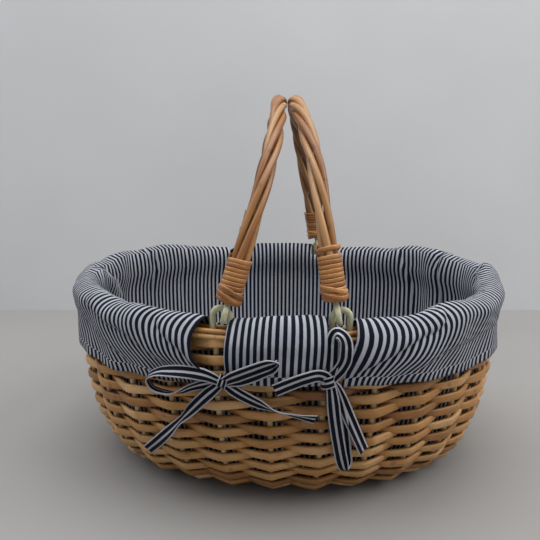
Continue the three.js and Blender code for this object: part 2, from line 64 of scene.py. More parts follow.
class Face(Enum):
    """The two long sides of the basket, with their sign along Y."""

    FRONT = -1
    BACK = 1


def unit(vectors: Array) -> Array:
    """Scales vectors to a length of one."""
    lengths = np.linalg.norm(vectors, axis=-1, keepdims=True)
    return vectors / np.maximum(lengths, 1e-12)


def smooth_step(value: Array | float, low: float, high: float) -> Array:
    """Rises smoothly from 0 at low to 1 at high."""
    share = np.clip((np.asarray(value, float) - low) / (high - low), 0, 1)
    return share * share * (3 - 2 * share)


def smooth_line(points: Array, count: int) -> Array:
    """Draws a smooth curve through points.

    Args:
        points: Points of any dimension, in order.
        count: Number of points wanted.

    Returns:
        Points of a centripetal Catmull-Rom curve, evenly spaced along it.
    """
    points = np.asarray(points, float)
    first = 2 * points[0] - points[1]
    last = 2 * points[-1] - points[-2]
    held = np.vstack([first, points, last])
    knots = np.concatenate([[0], np.cumsum(np.linalg.norm(np.diff(held, axis=0), axis=1) ** 0.5)])
    line = []
    for i in range(1, len(held) - 2):
        t0, t1, t2, t3 = knots[i - 1 : i + 3]
        p0, p1, p2, p3 = held[i - 1 : i + 3]
        t = np.linspace(t1, t2, 16, endpoint=False)[:, None]
        a1 = (t1 - t) / (t1 - t0) * p0 + (t - t0) / (t1 - t0) * p1
        a2 = (t2 - t) / (t2 - t1) * p1 + (t - t1) / (t2 - t1) * p2
        a3 = (t3 - t) / (t3 - t2) * p2 + (t - t2) / (t3 - t2) * p3
        b1 = (t2 - t) / (t2 - t0) * a1 + (t - t0) / (t2 - t0) * a2
        b2 = (t3 - t) / (t3 - t1) * a2 + (t - t1) / (t3 - t1) * a3
        line.append((t2 - t) / (t2 - t1) * b1 + (t - t1) / (t2 - t1) * b2)
    line.append(points[-1:])
    return spaced(np.vstack(line), count)


def distances(points: Array) -> Array:
    """Distance of each point from the first, along the line that they make."""
    return np.concatenate([[0], np.cumsum(np.linalg.norm(np.diff(points, axis=0), axis=1))])


def spaced(points: Array, count: int) -> Array:
    """Spaces points evenly along the line that they make."""
    run = distances(points)
    stops = np.linspace(0, run[-1], count)
    return np.stack([np.interp(stops, run, column) for column in points.T], axis=1)


@dataclass
class BasketForm:
    """The oval shape that the wall, border and cloth follow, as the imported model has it."""

    base_half_length: float = 0.1475
    base_half_width: float = 0.0825
    rim_half_length: float = 0.1928
    rim_half_width: float = 0.1428
    wall_thickness: float = 0.0104
    wall_top: float = 0.1588
    foot_height: float = 0.0055
    foot_spread: float = 0.053
    shoulder_overhang: float = 0.0053
    shoulder_drop: float = 0.010
    border_top: float = 0.1674
    stake_count: int = 26
    stake_offset: float = -0.0084
    profile: Array = field(init=False, repr=False)
    profile_run: Array = field(init=False, repr=False)
    rim_run: Array = field(init=False, repr=False)
    rim_angles: Array = field(init=False, repr=False)

    def __post_init__(self) -> None:
        """Tabulates the wall's profile and the length round the rim."""
        corners = np.array([
            [self.base_half_length, self.foot_height],
            [self.base_half_length + self.foot_spread, self.foot_height],
            [self.rim_half_length + self.shoulder_overhang, self.wall_top - self.shoulder_drop],
            [self.rim_half_length, self.wall_top],
        ])
        t = np.linspace(0, 1, 801)[:, None]
        weights = np.hstack([(1 - t) ** 3, 3 * t * (1 - t) ** 2, 3 * t * t * (1 - t), t ** 3])
        self.profile = weights @ corners
        self.profile_run = distances(self.profile)
        self.rim_angles = np.linspace(0, TURN, 2881)
        ring = np.stack([self.rim_half_length * np.cos(self.rim_angles),
                         self.rim_half_width * np.sin(self.rim_angles)], axis=1)
        self.rim_run = distances(ring)

    @property
    def wall_length(self) -> float:
        """Length of the wall's profile from the base to the border."""
        return float(self.profile_run[-1])

    @property
    def rim_length(self) -> float:
        """Length once round the rim."""
        return float(self.rim_run[-1])

    def rim_angle(self, run: Array) -> Array:
        """Angle on the rim at a length along it from the front centre, to the right."""
        along = np.mod(np.asarray(run) + 0.75 * self.rim_length, self.rim_length)
        return np.interp(along, self.rim_run, self.rim_angles)

    def wall(self, share: Array, offset: Array | float) -> tuple[Array, Array]:
        """Reach and height of the wall at a share of its profile, off its middle by offset."""
        run = np.asarray(share) * self.wall_length
        point = [np.interp(run, self.profile_run, self.profile[:, i]) for i in (0, 1)]
        lean = self.lean(share)
        return point[0] + offset * lean[0], point[1] + offset * lean[1]

    def lean(self, share: Array) -> tuple[Array, Array]:
        """Outward direction of the wall in its profile, as a reach and a height."""
        slopes = unit(np.gradient(self.profile, axis=0))
        run = np.asarray(share) * self.wall_length
        along = [np.interp(run, self.profile_run, slopes[:, i]) for i in (0, 1)]
        return along[1], -along[0]

    def wall_reach(self, height: Array, offset: float) -> Array:
        """Reach of the wall, off its middle by offset, at a height."""
        shares = np.linspace(0, 1, 401)
        reach, level = self.wall(shares, offset)
        return np.interp(height, level, reach)

    def oval(self, reach: Array, height: Array, angle: Array) -> Array:
        """Points of the oval with a given reach at a given height, turned by an angle from +X."""
        reach, height, angle = np.broadcast_arrays(reach, height, angle)
        rise = np.clip(height / self.wall_top, 0, 1)
        base_slim = self.base_half_length - self.base_half_width
        rim_slim = self.rim_half_length - self.rim_half_width
        slim = base_slim + (rim_slim - base_slim) * rise
        in_base = reach * self.base_half_width / self.base_half_length
        width = np.where(reach <= self.base_half_length, in_base, reach - slim)
        return np.stack([reach * np.cos(angle), width * np.sin(angle), height], axis=-1)

    def stake_angle(self, number: Array) -> Array:
        """Angle of a stake by its number, which may be a fraction between two stakes."""
        return self.rim_angle(np.asarray(number) / self.stake_count * self.rim_length + self.stake_offset)


class NodeMaker:
    """Adds nodes to a tree and joins their sockets."""

    def __init__(self, tree: NodeTree) -> None:
        """Keeps the tree that the nodes go into."""
        self.tree = tree

    def add(self, kind: str, inputs: dict | None = None, **settings: object) -> Node:
        """Adds one node.

        Args:
            kind: Blender's name of the node type.
            inputs: Values or sockets for its inputs, by name or by place.
            **settings: Properties of the node.

        Returns:
            The new node.
        """
        node = self.tree.nodes.new(kind)
        for name, value in settings.items():
            setattr(node, name, value)
        for key, value in (inputs or {}).items():
            if isinstance(value, NodeSocket):
                self.tree.links.new(value, node.inputs[key])
            else:
                node.inputs[key].default_value = value
        return node

    def math(self, operation: str, *values: object) -> NodeSocket:
        """Adds a math node and returns its result."""
        return self.add("ShaderNodeMath", dict(enumerate(values)), operation=operation).outputs[0]

    def ramp(self, factor: NodeSocket, stops: list[tuple[float, tuple]]) -> NodeSocket:
        """Adds a colour ramp with its stops and returns its colour."""
        node = self.add("ShaderNodeValToRGB", {"Fac": factor})
        elements = node.color_ramp.elements
        while len(elements) < len(stops):
            elements.new(0.5)
        for element, (place, colour) in zip(elements, stops):
            element.position = place
            element.color = (*colour, 1)
        return node.outputs["Color"]

    def mix(self, factor: object, low: object, high: object, blend: str = "MIX") -> NodeSocket:
        """Adds a colour mix and returns its result."""
        node = self.add("ShaderNodeMix", data_type="RGBA", blend_type=blend)
        for place, value in ((0, factor), (6, low), (7, high)):
            if isinstance(value, NodeSocket):
                self.tree.links.new(value, node.inputs[place])
            else:
                node.inputs[place].default_value = value if place == 0 else (*value, 1)
        return node.outputs[2]

    def noise(self, place: NodeSocket, scale: float, detail: float, roughness: float = 0.5) -> NodeSocket:
        """Adds a noise texture and returns its level."""
        return self.add("ShaderNodeTexNoise", {
            "Vector": place, "Scale": scale, "Detail": detail,
            "Roughness": roughness}).outputs["Fac"]

    def attribute(self, name: str) -> NodeSocket:
        """Reads an attribute of the mesh in a material."""
        return self.add("ShaderNodeAttribute", attribute_name=name).outputs["Fac"]

    def cloth_place(self) -> tuple[NodeSocket, ...]:
        """Reads the place on a cloth, whole and as its measures across and down."""
        place = self.add("ShaderNodeUVMap", uv_map="cloth").outputs["UV"]
        parts = self.add("ShaderNodeSeparateXYZ", {"Vector": place}).outputs
        return place, parts["X"], parts["Y"]

    def named(self, name: str, kind: str = "FLOAT") -> NodeSocket:
        """Reads an attribute of the geometry in a geometry tree."""
        node = self.add("GeometryNodeInputNamedAttribute", data_type=kind)
        node.inputs["Name"].default_value = name
        return node.outputs["Attribute"]


def new_object(name: str, data: ID) -> Object:
    """Makes an object of a mesh, a lamp or a camera and puts it in the scene."""
    thing = bpy.data.objects.new(name, data)
    bpy.context.scene.collection.objects.link(thing)
    return thing


def srgb(red: int, green: int, blue: int) -> tuple[float, float, float]:
    """Turns a colour of 0 to 255 on a screen into Blender's linear one."""
    parts = [value / 255 for value in (red, green, blue)]
    return tuple(p / 12.92 if p <= 0.04045 else ((p + 0.055) / 1.055) ** 2.4 for p in parts)


def new_material(name: str) -> tuple[Material, NodeMaker, Node]:
    """Makes an empty material.

    Args:
        name: Name of the material.

    Returns:
        The material, a maker for its nodes and its shader.
    """
    material = bpy.data.materials.new(name)
    material.use_nodes = True
    tree = material.node_tree
    shader = next(node for node in tree.nodes if node.type == "BSDF_PRINCIPLED")
    return material, NodeMaker(tree), shader


def dress(nodes: NodeMaker, shader: Node, colour: NodeSocket,
          relief: tuple[NodeSocket, float, float], gloss: dict[str, float]) -> None:
    """Gives a shader its colour, its fine relief and its gloss.

    Args:
        nodes: Maker of the material's nodes.
        shader: The material's shader.
        colour: Colour of the surface.
        relief: Level of the surface's relief, its strength and its depth.
        gloss: Values for inputs of the shader, by name.
    """
    level, strength, depth = relief
    bump = nodes.add("ShaderNodeBump", {"Height": level, "Strength": strength, "Distance": depth})
    nodes.tree.links.new(colour, shader.inputs["Base Color"])
    nodes.tree.links.new(bump.outputs["Normal"], shader.inputs["Normal"])
    for name, value in gloss.items():
        shader.inputs[name].default_value = value


@dataclass(frozen=True)
class WillowFinish:
    """Peeled, smoothed willow, with its grain along each rod and a tone for each rod; in the wall the tone
    also carries painted shade where the rods pass behind the stakes.
    """

    name: str
    dark: tuple[int, int, int] = (112, 66, 24)
    middle: tuple[int, int, int] = (180, 128, 68)
    light: tuple[int, int, int] = (230, 190, 136)
    roughness: float = 0.42
    coat: float = 0.12
    coat_roughness: float = 0.35
    specular: float = 0.4
    grain_strength: float = 0.25
    grain_depth: float = 0.0006
    grain_along: float = 22.0
    grain_around: float = 9.0
    grain_by_tone: float = 57.0
    patch_scale: float = 38.0
    knot_scale: float = 95.0
    tone_share: float = 0.52
    grain_share: float = 0.34
    patch_share: float = 0.22

    def make(self) -> Material:
        """Builds the material."""
        material, nodes, shader = new_material(self.name)
        tone = nodes.attribute("tone")
        along = nodes.attribute("along")
        around = nodes.attribute("around")
        grain_place = nodes.add("ShaderNodeCombineXYZ", {
            "X": nodes.math("MULTIPLY", along, self.grain_along),
            "Y": nodes.math("MULTIPLY", around, self.grain_around),
            "Z": nodes.math("MULTIPLY", tone, self.grain_by_tone),
        }).outputs[0]
        grain = nodes.noise(grain_place, 1.0, 4.0, 0.6)
        coords = nodes.add("ShaderNodeTexCoord").outputs["Object"]
        patches = nodes.noise(coords, self.patch_scale, 2.0)
        level = nodes.math("MULTIPLY", tone, self.tone_share)
        level = nodes.math("ADD", level, nodes.math("MULTIPLY", grain, self.grain_share))
        level = nodes.math("ADD", level, nodes.math("MULTIPLY", patches, self.patch_share))
        colour = nodes.ramp(level, [(0.2, srgb(*self.dark)), (0.52, srgb(*self.middle)),
                                    (0.86, srgb(*self.light))])
        knots = nodes.noise(coords, self.knot_scale, 1.0)
        spots = nodes.ramp(knots, [(0.66, (1, 1, 1)), (0.74, (0.62, 0.5, 0.4))])
        colour = nodes.mix(0.8, colour, spots, "MULTIPLY")
        dress(nodes, shader, colour, (grain, self.grain_strength, self.grain_depth), {
            "Roughness": self.roughness, "Coat Weight": self.coat,
            "Coat Roughness": self.coat_roughness, "Specular IOR Level": self.specular})
        return material


@dataclass(frozen=True)
class StripedCloth:
    """Cotton with woven stripes, its pattern on the cloth's own lengthwise and crosswise measure."""

    name: str
    pitch: float
    navy: tuple[int, int, int] = (17, 20, 33)
    white: tuple[int, int, int] = (172, 175, 184)
    thread: float = 0.00055
    unevenness: float = 0.05
    hem_shift: float = 0.5
    edge_softness: float = 0.34
    uneven_scale: float = 260.0
    worn_scale: float = 45.0

    def make(self) -> Material:
        """Builds the material."""
        material, nodes, shader = new_material(self.name)
        uv, across, down = nodes.cloth_place()
        uneven = nodes.noise(uv, self.uneven_scale, 1.0)
        place = nodes.math("DIVIDE", across, self.pitch)
        place = nodes.math("ADD", place, nodes.math("MULTIPLY", uneven, self.unevenness))
        place = nodes.math("ADD", place, nodes.math("MULTIPLY", nodes.attribute("hem"), self.hem_shift))
        swing = nodes.math("SINE", nodes.math("MULTIPLY", place, TURN))
        edge = nodes.add("ShaderNodeMapRange", {
            "Value": swing, "From Min": 0.0, "From Max": self.edge_softness}).outputs["Result"]
        thread_place = nodes.add("ShaderNodeCombineXYZ", {
            "X": nodes.math("DIVIDE", across, self.thread), "Y": nodes.math("DIVIDE", down, self.thread)})
        threads = nodes.add("ShaderNodeTexChecker", {
            "Vector": thread_place.outputs[0], "Scale": 1.0}).outputs["Fac"]
        worn = nodes.noise(uv, self.worn_scale, 3.0)
        stripe = nodes.mix(edge, srgb(*self.navy), srgb(*self.white))
        shade = nodes.ramp(worn, [(0.3, (0.9, 0.9, 0.9)), (0.7, (1.0, 1.0, 1.0))])
        colour = nodes.mix(1.0, stripe, shade, "MULTIPLY")
        fleck = nodes.ramp(threads, [(0.0, (0.94, 0.94, 0.94)), (1.0, (1.0, 1.0, 1.0))])
        colour = nodes.mix(0.7, colour, fleck, "MULTIPLY")
        dress(nodes, shader, colour, (threads, 0.12, 0.0002), CLOTH_GLOSS)
        return material


@dataclass(frozen=True)
class CordFinish:
    """Pale paper cord, a little green."""

    name: str
    shade: tuple[int, int, int] = (156, 153, 122)
    light: tuple[int, int, int] = (197, 194, 164)
    fibres_along: float = 160.0
    fibres_around: float = 7.0
    roughness: float = 0.6

    def make(self) -> Material:
        """Builds the material."""
        material, nodes, shader = new_material(self.name)
        place = nodes.add("ShaderNodeCombineXYZ", {
            "X": nodes.math("MULTIPLY", nodes.attribute("along"), self.fibres_along),
            "Y": nodes.math("MULTIPLY", nodes.attribute("around"), self.fibres_around)}).outputs[0]
        fibres = nodes.noise(place, 1.0, 3.0)
        colour = nodes.ramp(fibres, [(0.3, srgb(*self.shade)), (0.65, srgb(*self.light))])
        dress(nodes, shader, colour, (fibres, 0.15, 0.0003), {"Roughness": self.roughness})
        return material


@dataclass(frozen=True)
class StageFinish:
    """Matt paint of the floor and the backdrop, clear from behind so that no view is blocked."""

    name: str
    colour: tuple[int, int, int]
    shading: float = 0.94
    mottle_scale: float = 3.0
    roughness: float = 0.8
    specular: float = 0.2

    def make(self) -> Material:
        """Builds the material."""
        material, nodes, shader = new_material(self.name)
        coords = nodes.add("ShaderNodeTexCoord").outputs["Object"]
        mottle = nodes.noise(coords, self.mottle_scale, 3.0)
        base = srgb(*self.colour)
        darker = tuple(part * self.shading for part in base)
        colour = nodes.ramp(mottle, [(0.35, darker), (0.65, base)])
        nodes.tree.links.new(colour, shader.inputs["Base Color"])
        shader.inputs["Roughness"].default_value = self.roughness
        shader.inputs["Specular IOR Level"].default_value = self.specular
        behind = nodes.add("ShaderNodeNewGeometry").outputs["Backfacing"]
        either = nodes.add("ShaderNodeMixShader", {"Fac": behind})
        clear = nodes.add("ShaderNodeBsdfTransparent")
        output = next(node for node in nodes.tree.nodes if node.type == "OUTPUT_MATERIAL")
        nodes.tree.links.new(shader.outputs["BSDF"], either.inputs[1])
        nodes.tree.links.new(clear.outputs["BSDF"], either.inputs[2])
        nodes.tree.links.new(either.outputs["Shader"], output.inputs["Surface"])
        return material


@dataclass
class Strand:
    """A strand's middle line, with what its sweep needs at each point."""

    points: Array
    outward: Array
    tone: Array
    girth: Array
    phase: Array
    closed: bool = False

    @classmethod
    def plain(cls, points: Array, outward: Array, tone: float, closed: bool = False,
              girth: Array | float = 1.0) -> "Strand":
        """Makes a strand that is not woven, of one tone."""
        count = len(points)
        return cls(points, unit(outward), np.full(count, tone), np.full(count, 1.0) * girth,
                   np.full(count, 0.5), closed)


class GuideTree:
    """A tree of geometry nodes that turns guide lines into a piece."""

    def __init__(self, name: str, *values: tuple[str, str]) -> None:
        """Makes the tree with its inputs: the guide, values by name and kind, and the material."""
        self.tree = bpy.data.node_groups.new(name, "GeometryNodeTree")
        sockets = self.tree.interface
        for label, kind in (("Guide", "Geometry"), *values, ("Finish", "Material")):
            sockets.new_socket(label, in_out="INPUT", socket_type=f"NodeSocket{kind}")
        sockets.new_socket("Piece", in_out="OUTPUT", socket_type="NodeSocketGeometry")
        self.nodes = NodeMaker(self.tree)
        self.given = self.nodes.add("NodeGroupInput").outputs

    def close(self, geometry: NodeSocket) -> None:
        """Ends the tree with its geometry made real and given its material."""
        real = self.nodes.add("GeometryNodeRealizeInstances", {"Geometry": geometry})
        done = self.nodes.add("GeometryNodeSetMaterial", {
            "Geometry": real.outputs[0], "Material": self.given["Finish"]})
        self.nodes.add("NodeGroupOutput", {"Piece": done.outputs[0]})

    def run(self, name: str, strands: list[Strand], values: dict[str, object]) -> Object:
        """Turns strands into a piece.

        Args:
            name: Name of the piece.
            strands: Its guide lines.
            values: The tree's inputs by name.

        Returns:
            The piece, a plain mesh.
        """
        guide = guide_lines(f"{name}_guide", strands)
        modifier = guide.modifiers.new("guide", "NODES")
        modifier.node_group = self.tree
        for item in self.tree.interface.items_tree:
            if item.item_type == "SOCKET" and item.in_out == "INPUT" and item.name in values:
                modifier[item.identifier] = values[item.name]
        bpy.context.view_layer.update()
        evaluated = guide.evaluated_get(bpy.context.evaluated_depsgraph_get())
        mesh = bpy.data.meshes.new_from_object(evaluated)
        mesh.name = name
        bpy.data.objects.remove(guide)
        mesh.shade_smooth()
        return new_object(name, mesh)


class StrandTree(GuideTree):
    """Geometry nodes that weave guide lines in and out and sweep them into rods, strips or cords."""

    def __init__(self) -> None:
        """Builds the tree."""
        super().__init__("woven_strand", ("Swing", "Float"), ("Kink", "Float"), ("Width", "Float"),
                         ("Thickness", "Float"), ("Flatness", "Float"), ("Sides", "Int"),
                         ("Waver", "Float"), ("Waver Scale", "Float"), ("Seed", "Int"))
        nodes = self.nodes
        given = self.given
        outward = nodes.named("outward", "FLOAT_VECTOR")
        facing = nodes.add("ShaderNodeVectorMath", {0: outward}, operation="NORMALIZE").outputs[0]
        phase = nodes.named("phase")
        curved = nodes.math("COSINE", nodes.math("MULTIPLY", phase, math.pi))
        fold = nodes.math("PINGPONG", phase, 1.0)
        straight = nodes.math("SUBTRACT", 1.0, nodes.math("MULTIPLY", fold, 2.0))
        kink = nodes.math("MULTIPLY", nodes.math("SUBTRACT", straight, curved), given["Kink"])
        wave = nodes.math("ADD", curved, kink)
        swing = nodes.add("ShaderNodeVectorMath", {0: outward}, operation="SCALE")
        nodes.tree.links.new(nodes.math("MULTIPLY", wave, given["Swing"]), swing.inputs["Scale"])
        noise = nodes.add("ShaderNodeTexNoise", {
            "W": given["Seed"], "Scale": given["Waver Scale"], "Detail": 1.0}, noise_dimensions="4D")
        centred = nodes.add("ShaderNodeVectorMath", {0: noise.outputs["Color"], 1: (0.5, 0.5, 0.5)},
                            operation="SUBTRACT")
        waver = nodes.add("ShaderNodeVectorMath", {0: centred.outputs[0]}, operation="SCALE")
        nodes.tree.links.new(given["Waver"], waver.inputs["Scale"])
        offset = nodes.add("ShaderNodeVectorMath", {0: swing.outputs[0], 1: waver.outputs[0]},
                           operation="ADD")
        moved = nodes.add("GeometryNodeSetPosition", {
            "Geometry": given["Guide"], "Offset": offset.outputs[0]})
        curve = nodes.add("GeometryNodeMeshToCurve", {"Mesh": moved.outputs[0]})
        framed = nodes.add("GeometryNodeSetCurveNormal", {
            "Curve": curve.outputs[0], "Normal": facing}, mode="FREE")
        circle = nodes.add("GeometryNodeCurvePrimitiveCircle", {
            "Resolution": given["Sides"], "Radius": 1.0})
        marked = nodes.add("GeometryNodeStoreNamedAttribute", {
            "Geometry": self.flattened(circle.outputs[0]), "Name": "around",
            "Value": nodes.add("GeometryNodeSplineParameter").outputs["Factor"]},
            data_type="FLOAT", domain="POINT")
        section_size = nodes.add("ShaderNodeCombineXYZ", {
            "X": given["Thickness"], "Y": given["Width"], "Z": 1.0})
        section = nodes.add("GeometryNodeTransform", {
            "Geometry": marked.outputs[0], "Scale": section_size.outputs[0]})
        swept = nodes.add("GeometryNodeCurveToMesh", {
            "Curve": framed.outputs[0], "Profile Curve": section.outputs[0],
            "Scale": nodes.named("girth"), "Fill Caps": True})
        self.close(swept.outputs[0])

    def flattened(self, circle: NodeSocket) -> NodeSocket:
        """Turns a circle by half a side and draws it towards a square by the flatness."""
        nodes = self.nodes
        half_turn = nodes.math("DIVIDE", math.pi, self.given["Sides"])
        half_side = nodes.add("ShaderNodeCombineXYZ", {"Z": half_turn})
        turned = nodes.add("GeometryNodeTransform", {
            "Geometry": circle, "Rotation": half_side.outputs[0]})
        position = nodes.add("GeometryNodeInputPosition").outputs[0]
        place = nodes.add("ShaderNodeSeparateXYZ", {"Vector": position})
        power = nodes.math("SUBTRACT", 1.0, self.given["Flatness"])
        parts = {}
        for axis in "XY":
            part = place.outputs[axis]
            size = nodes.math("POWER", nodes.math("ABSOLUTE", part), power)
            parts[axis] = nodes.math("MULTIPLY", nodes.math("SIGN", part), nodes.math("MULTIPLY", size, 0.5))
        moved = nodes.add("ShaderNodeCombineXYZ", parts)
        return nodes.add("GeometryNodeSetPosition", {
            "Geometry": turned.outputs[0], "Position": moved.outputs[0]}).outputs[0]

    def sweep(self, name: str, strands: list[Strand], finish: Material, width: float,
              thickness: float, flatness: float = 0.0, sides: int = 8, swing: float = 0.0,
              kink: float = 0.0, waver: float = 0.0, waver_scale: float = 60.0,
              seed: int = 1) -> Object:
        """Makes one piece of strands.

        Args:
            name: Name of the piece.
            strands: Its strands.
            finish: Its material.
            width: Size of a strand across its outward direction.
            thickness: Size of a strand along its outward direction.
            flatness: How square its section is, from 0 for an oval to 1 for a rectangle.
            sides: Number of sides of a strand.
            swing: How far the strands swing in and out of the line of the stakes.
            kink: How sharply they bend at the stakes, from 0 for round to 1 for an angle.
            waver: How far they stray by chance.
            waver_scale: How quickly they stray, in waves for each metre.
            seed: Seed of the straying.

        Returns:
            The piece, a plain mesh.
        """
        return self.run(name, strands, {
            "Swing": swing, "Kink": kink, "Width": width, "Thickness": thickness,
            "Flatness": flatness, "Sides": sides, "Waver": waver, "Waver Scale": waver_scale,
            "Seed": seed, "Finish": finish})


class StitchTree(GuideTree):
    """Geometry nodes that set short stitches along guide lines."""

    def __init__(self) -> None:
        """Builds the tree."""
        super().__init__("hem_stitch", ("Pitch", "Float"), ("Stitch Length", "Float"),
                         ("Thread", "Float"))
        nodes = self.nodes
        given = self.given
        curve = nodes.add("GeometryNodeMeshToCurve", {"Mesh": given["Guide"]})
        points = nodes.add("GeometryNodeCurveToPoints", {
            "Curve": curve.outputs[0], "Length": given["Pitch"]}, mode="LENGTH")
        ball = nodes.add("GeometryNodeMeshIcoSphere", {"Radius": 0.5, "Subdivisions": 1})
        size = nodes.add("ShaderNodeCombineXYZ", {
            "X": given["Thread"], "Y": given["Thread"], "Z": given["Stitch Length"]})
        placed = nodes.add("GeometryNodeInstanceOnPoints", {
            "Points": points.outputs["Points"], "Instance": ball.outputs[0],
            "Rotation": points.outputs["Rotation"], "Scale": size.outputs[0]})
        self.close(placed.outputs[0])

    def sew(self, name: str, strands: list[Strand], finish: Material, pitch: float,
            length: float, thread: float) -> Object:
        """Makes one piece of stitches.

        Args:
            name: Name of the piece.
            strands: Lines that the stitches follow.
            finish: Material of the thread.
            pitch: Distance from one stitch to the next.
            length: Length of a stitch.
            thread: Thickness of the thread.

        Returns:
            The piece, a plain mesh.
        """
        return self.run(name, strands, {
            "Pitch": pitch, "Stitch Length": length, "Thread": thread, "Finish": finish})


def guide_lines(name: str, strands: list[Strand]) -> Object:
    """Makes an object of bare lines, with the strands' values as attributes of their points."""
    edges = []
    along = []
    start = 0
    for strand in strands:
        count = len(strand.points)
        order = np.arange(start, start + count)
        following = np.roll(order, -1)
        pairs = np.stack([order, following], axis=1)
        edges.append(pairs if strand.closed else pairs[:-1])
        along.append(distances(strand.points))
        start += count
    edges = np.concatenate(edges)
    mesh = bpy.data.meshes.new(name)
    mesh.vertices.add(start)
    mesh.vertices.foreach_set("co", np.concatenate([s.points for s in strands]).ravel())
    mesh.edges.add(len(edges))
    mesh.edges.foreach_set("vertices", edges.ravel())
    outward = mesh.attributes.new("outward", "FLOAT_VECTOR", "POINT")
    outward.data.foreach_set("vector", np.concatenate([s.outward for s in strands]).ravel())
    for label in ("tone", "girth", "phase"):
        values = np.concatenate([getattr(s, label) for s in strands])
        mesh.attributes.new(label, "FLOAT", "POINT").data.foreach_set("value", values)
    mesh.attributes.new("along", "FLOAT", "POINT").data.foreach_set("value", np.concatenate(along))
    mesh.update()
    return new_object(name, mesh)


def surface(name: str, points: Array, faces: Array, uv: list, finish: Material,
            values: dict[str, Array] | None = None) -> Object:
    """Makes a piece from points and four-sided faces.

    Args:
        name: Name of the piece.
        points: Its vertices.
        faces: Its faces, four vertices each, or three with the last one repeated.
        uv: Place on the cloth of each face's corners.
        finish: Its material.
        values: Attributes of its vertices.

    Returns:
        The piece.
    """
    mesh = bpy.data.meshes.new(name)
    mesh.from_pydata(points.tolist(), [], [list(dict.fromkeys(face)) for face in faces.tolist()])
    layer = mesh.uv_layers.new(name="cloth")
    corners = []
    for face, places in zip(faces.tolist(), uv):
        corners.extend(places[i] for i, vertex in enumerate(face) if vertex not in face[:i])
    layer.data.foreach_set("uv", np.array(corners).ravel())
    for label, numbers in (values or {}).items():
        mesh.attributes.new(label, "FLOAT", "POINT").data.foreach_set("value", numbers)
    mesh.materials.append(finish)
    mesh.shade_smooth()
    mesh.update()
    return new_object(name, mesh)


def settle(piece: Object, body: str, slot: str, *nodes: str) -> Object:
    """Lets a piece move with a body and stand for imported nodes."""
    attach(piece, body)
    if nodes:
        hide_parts(*nodes)
    LOG.info("%s: %d faces", piece.name, len(piece.data.polygons))
    return piece


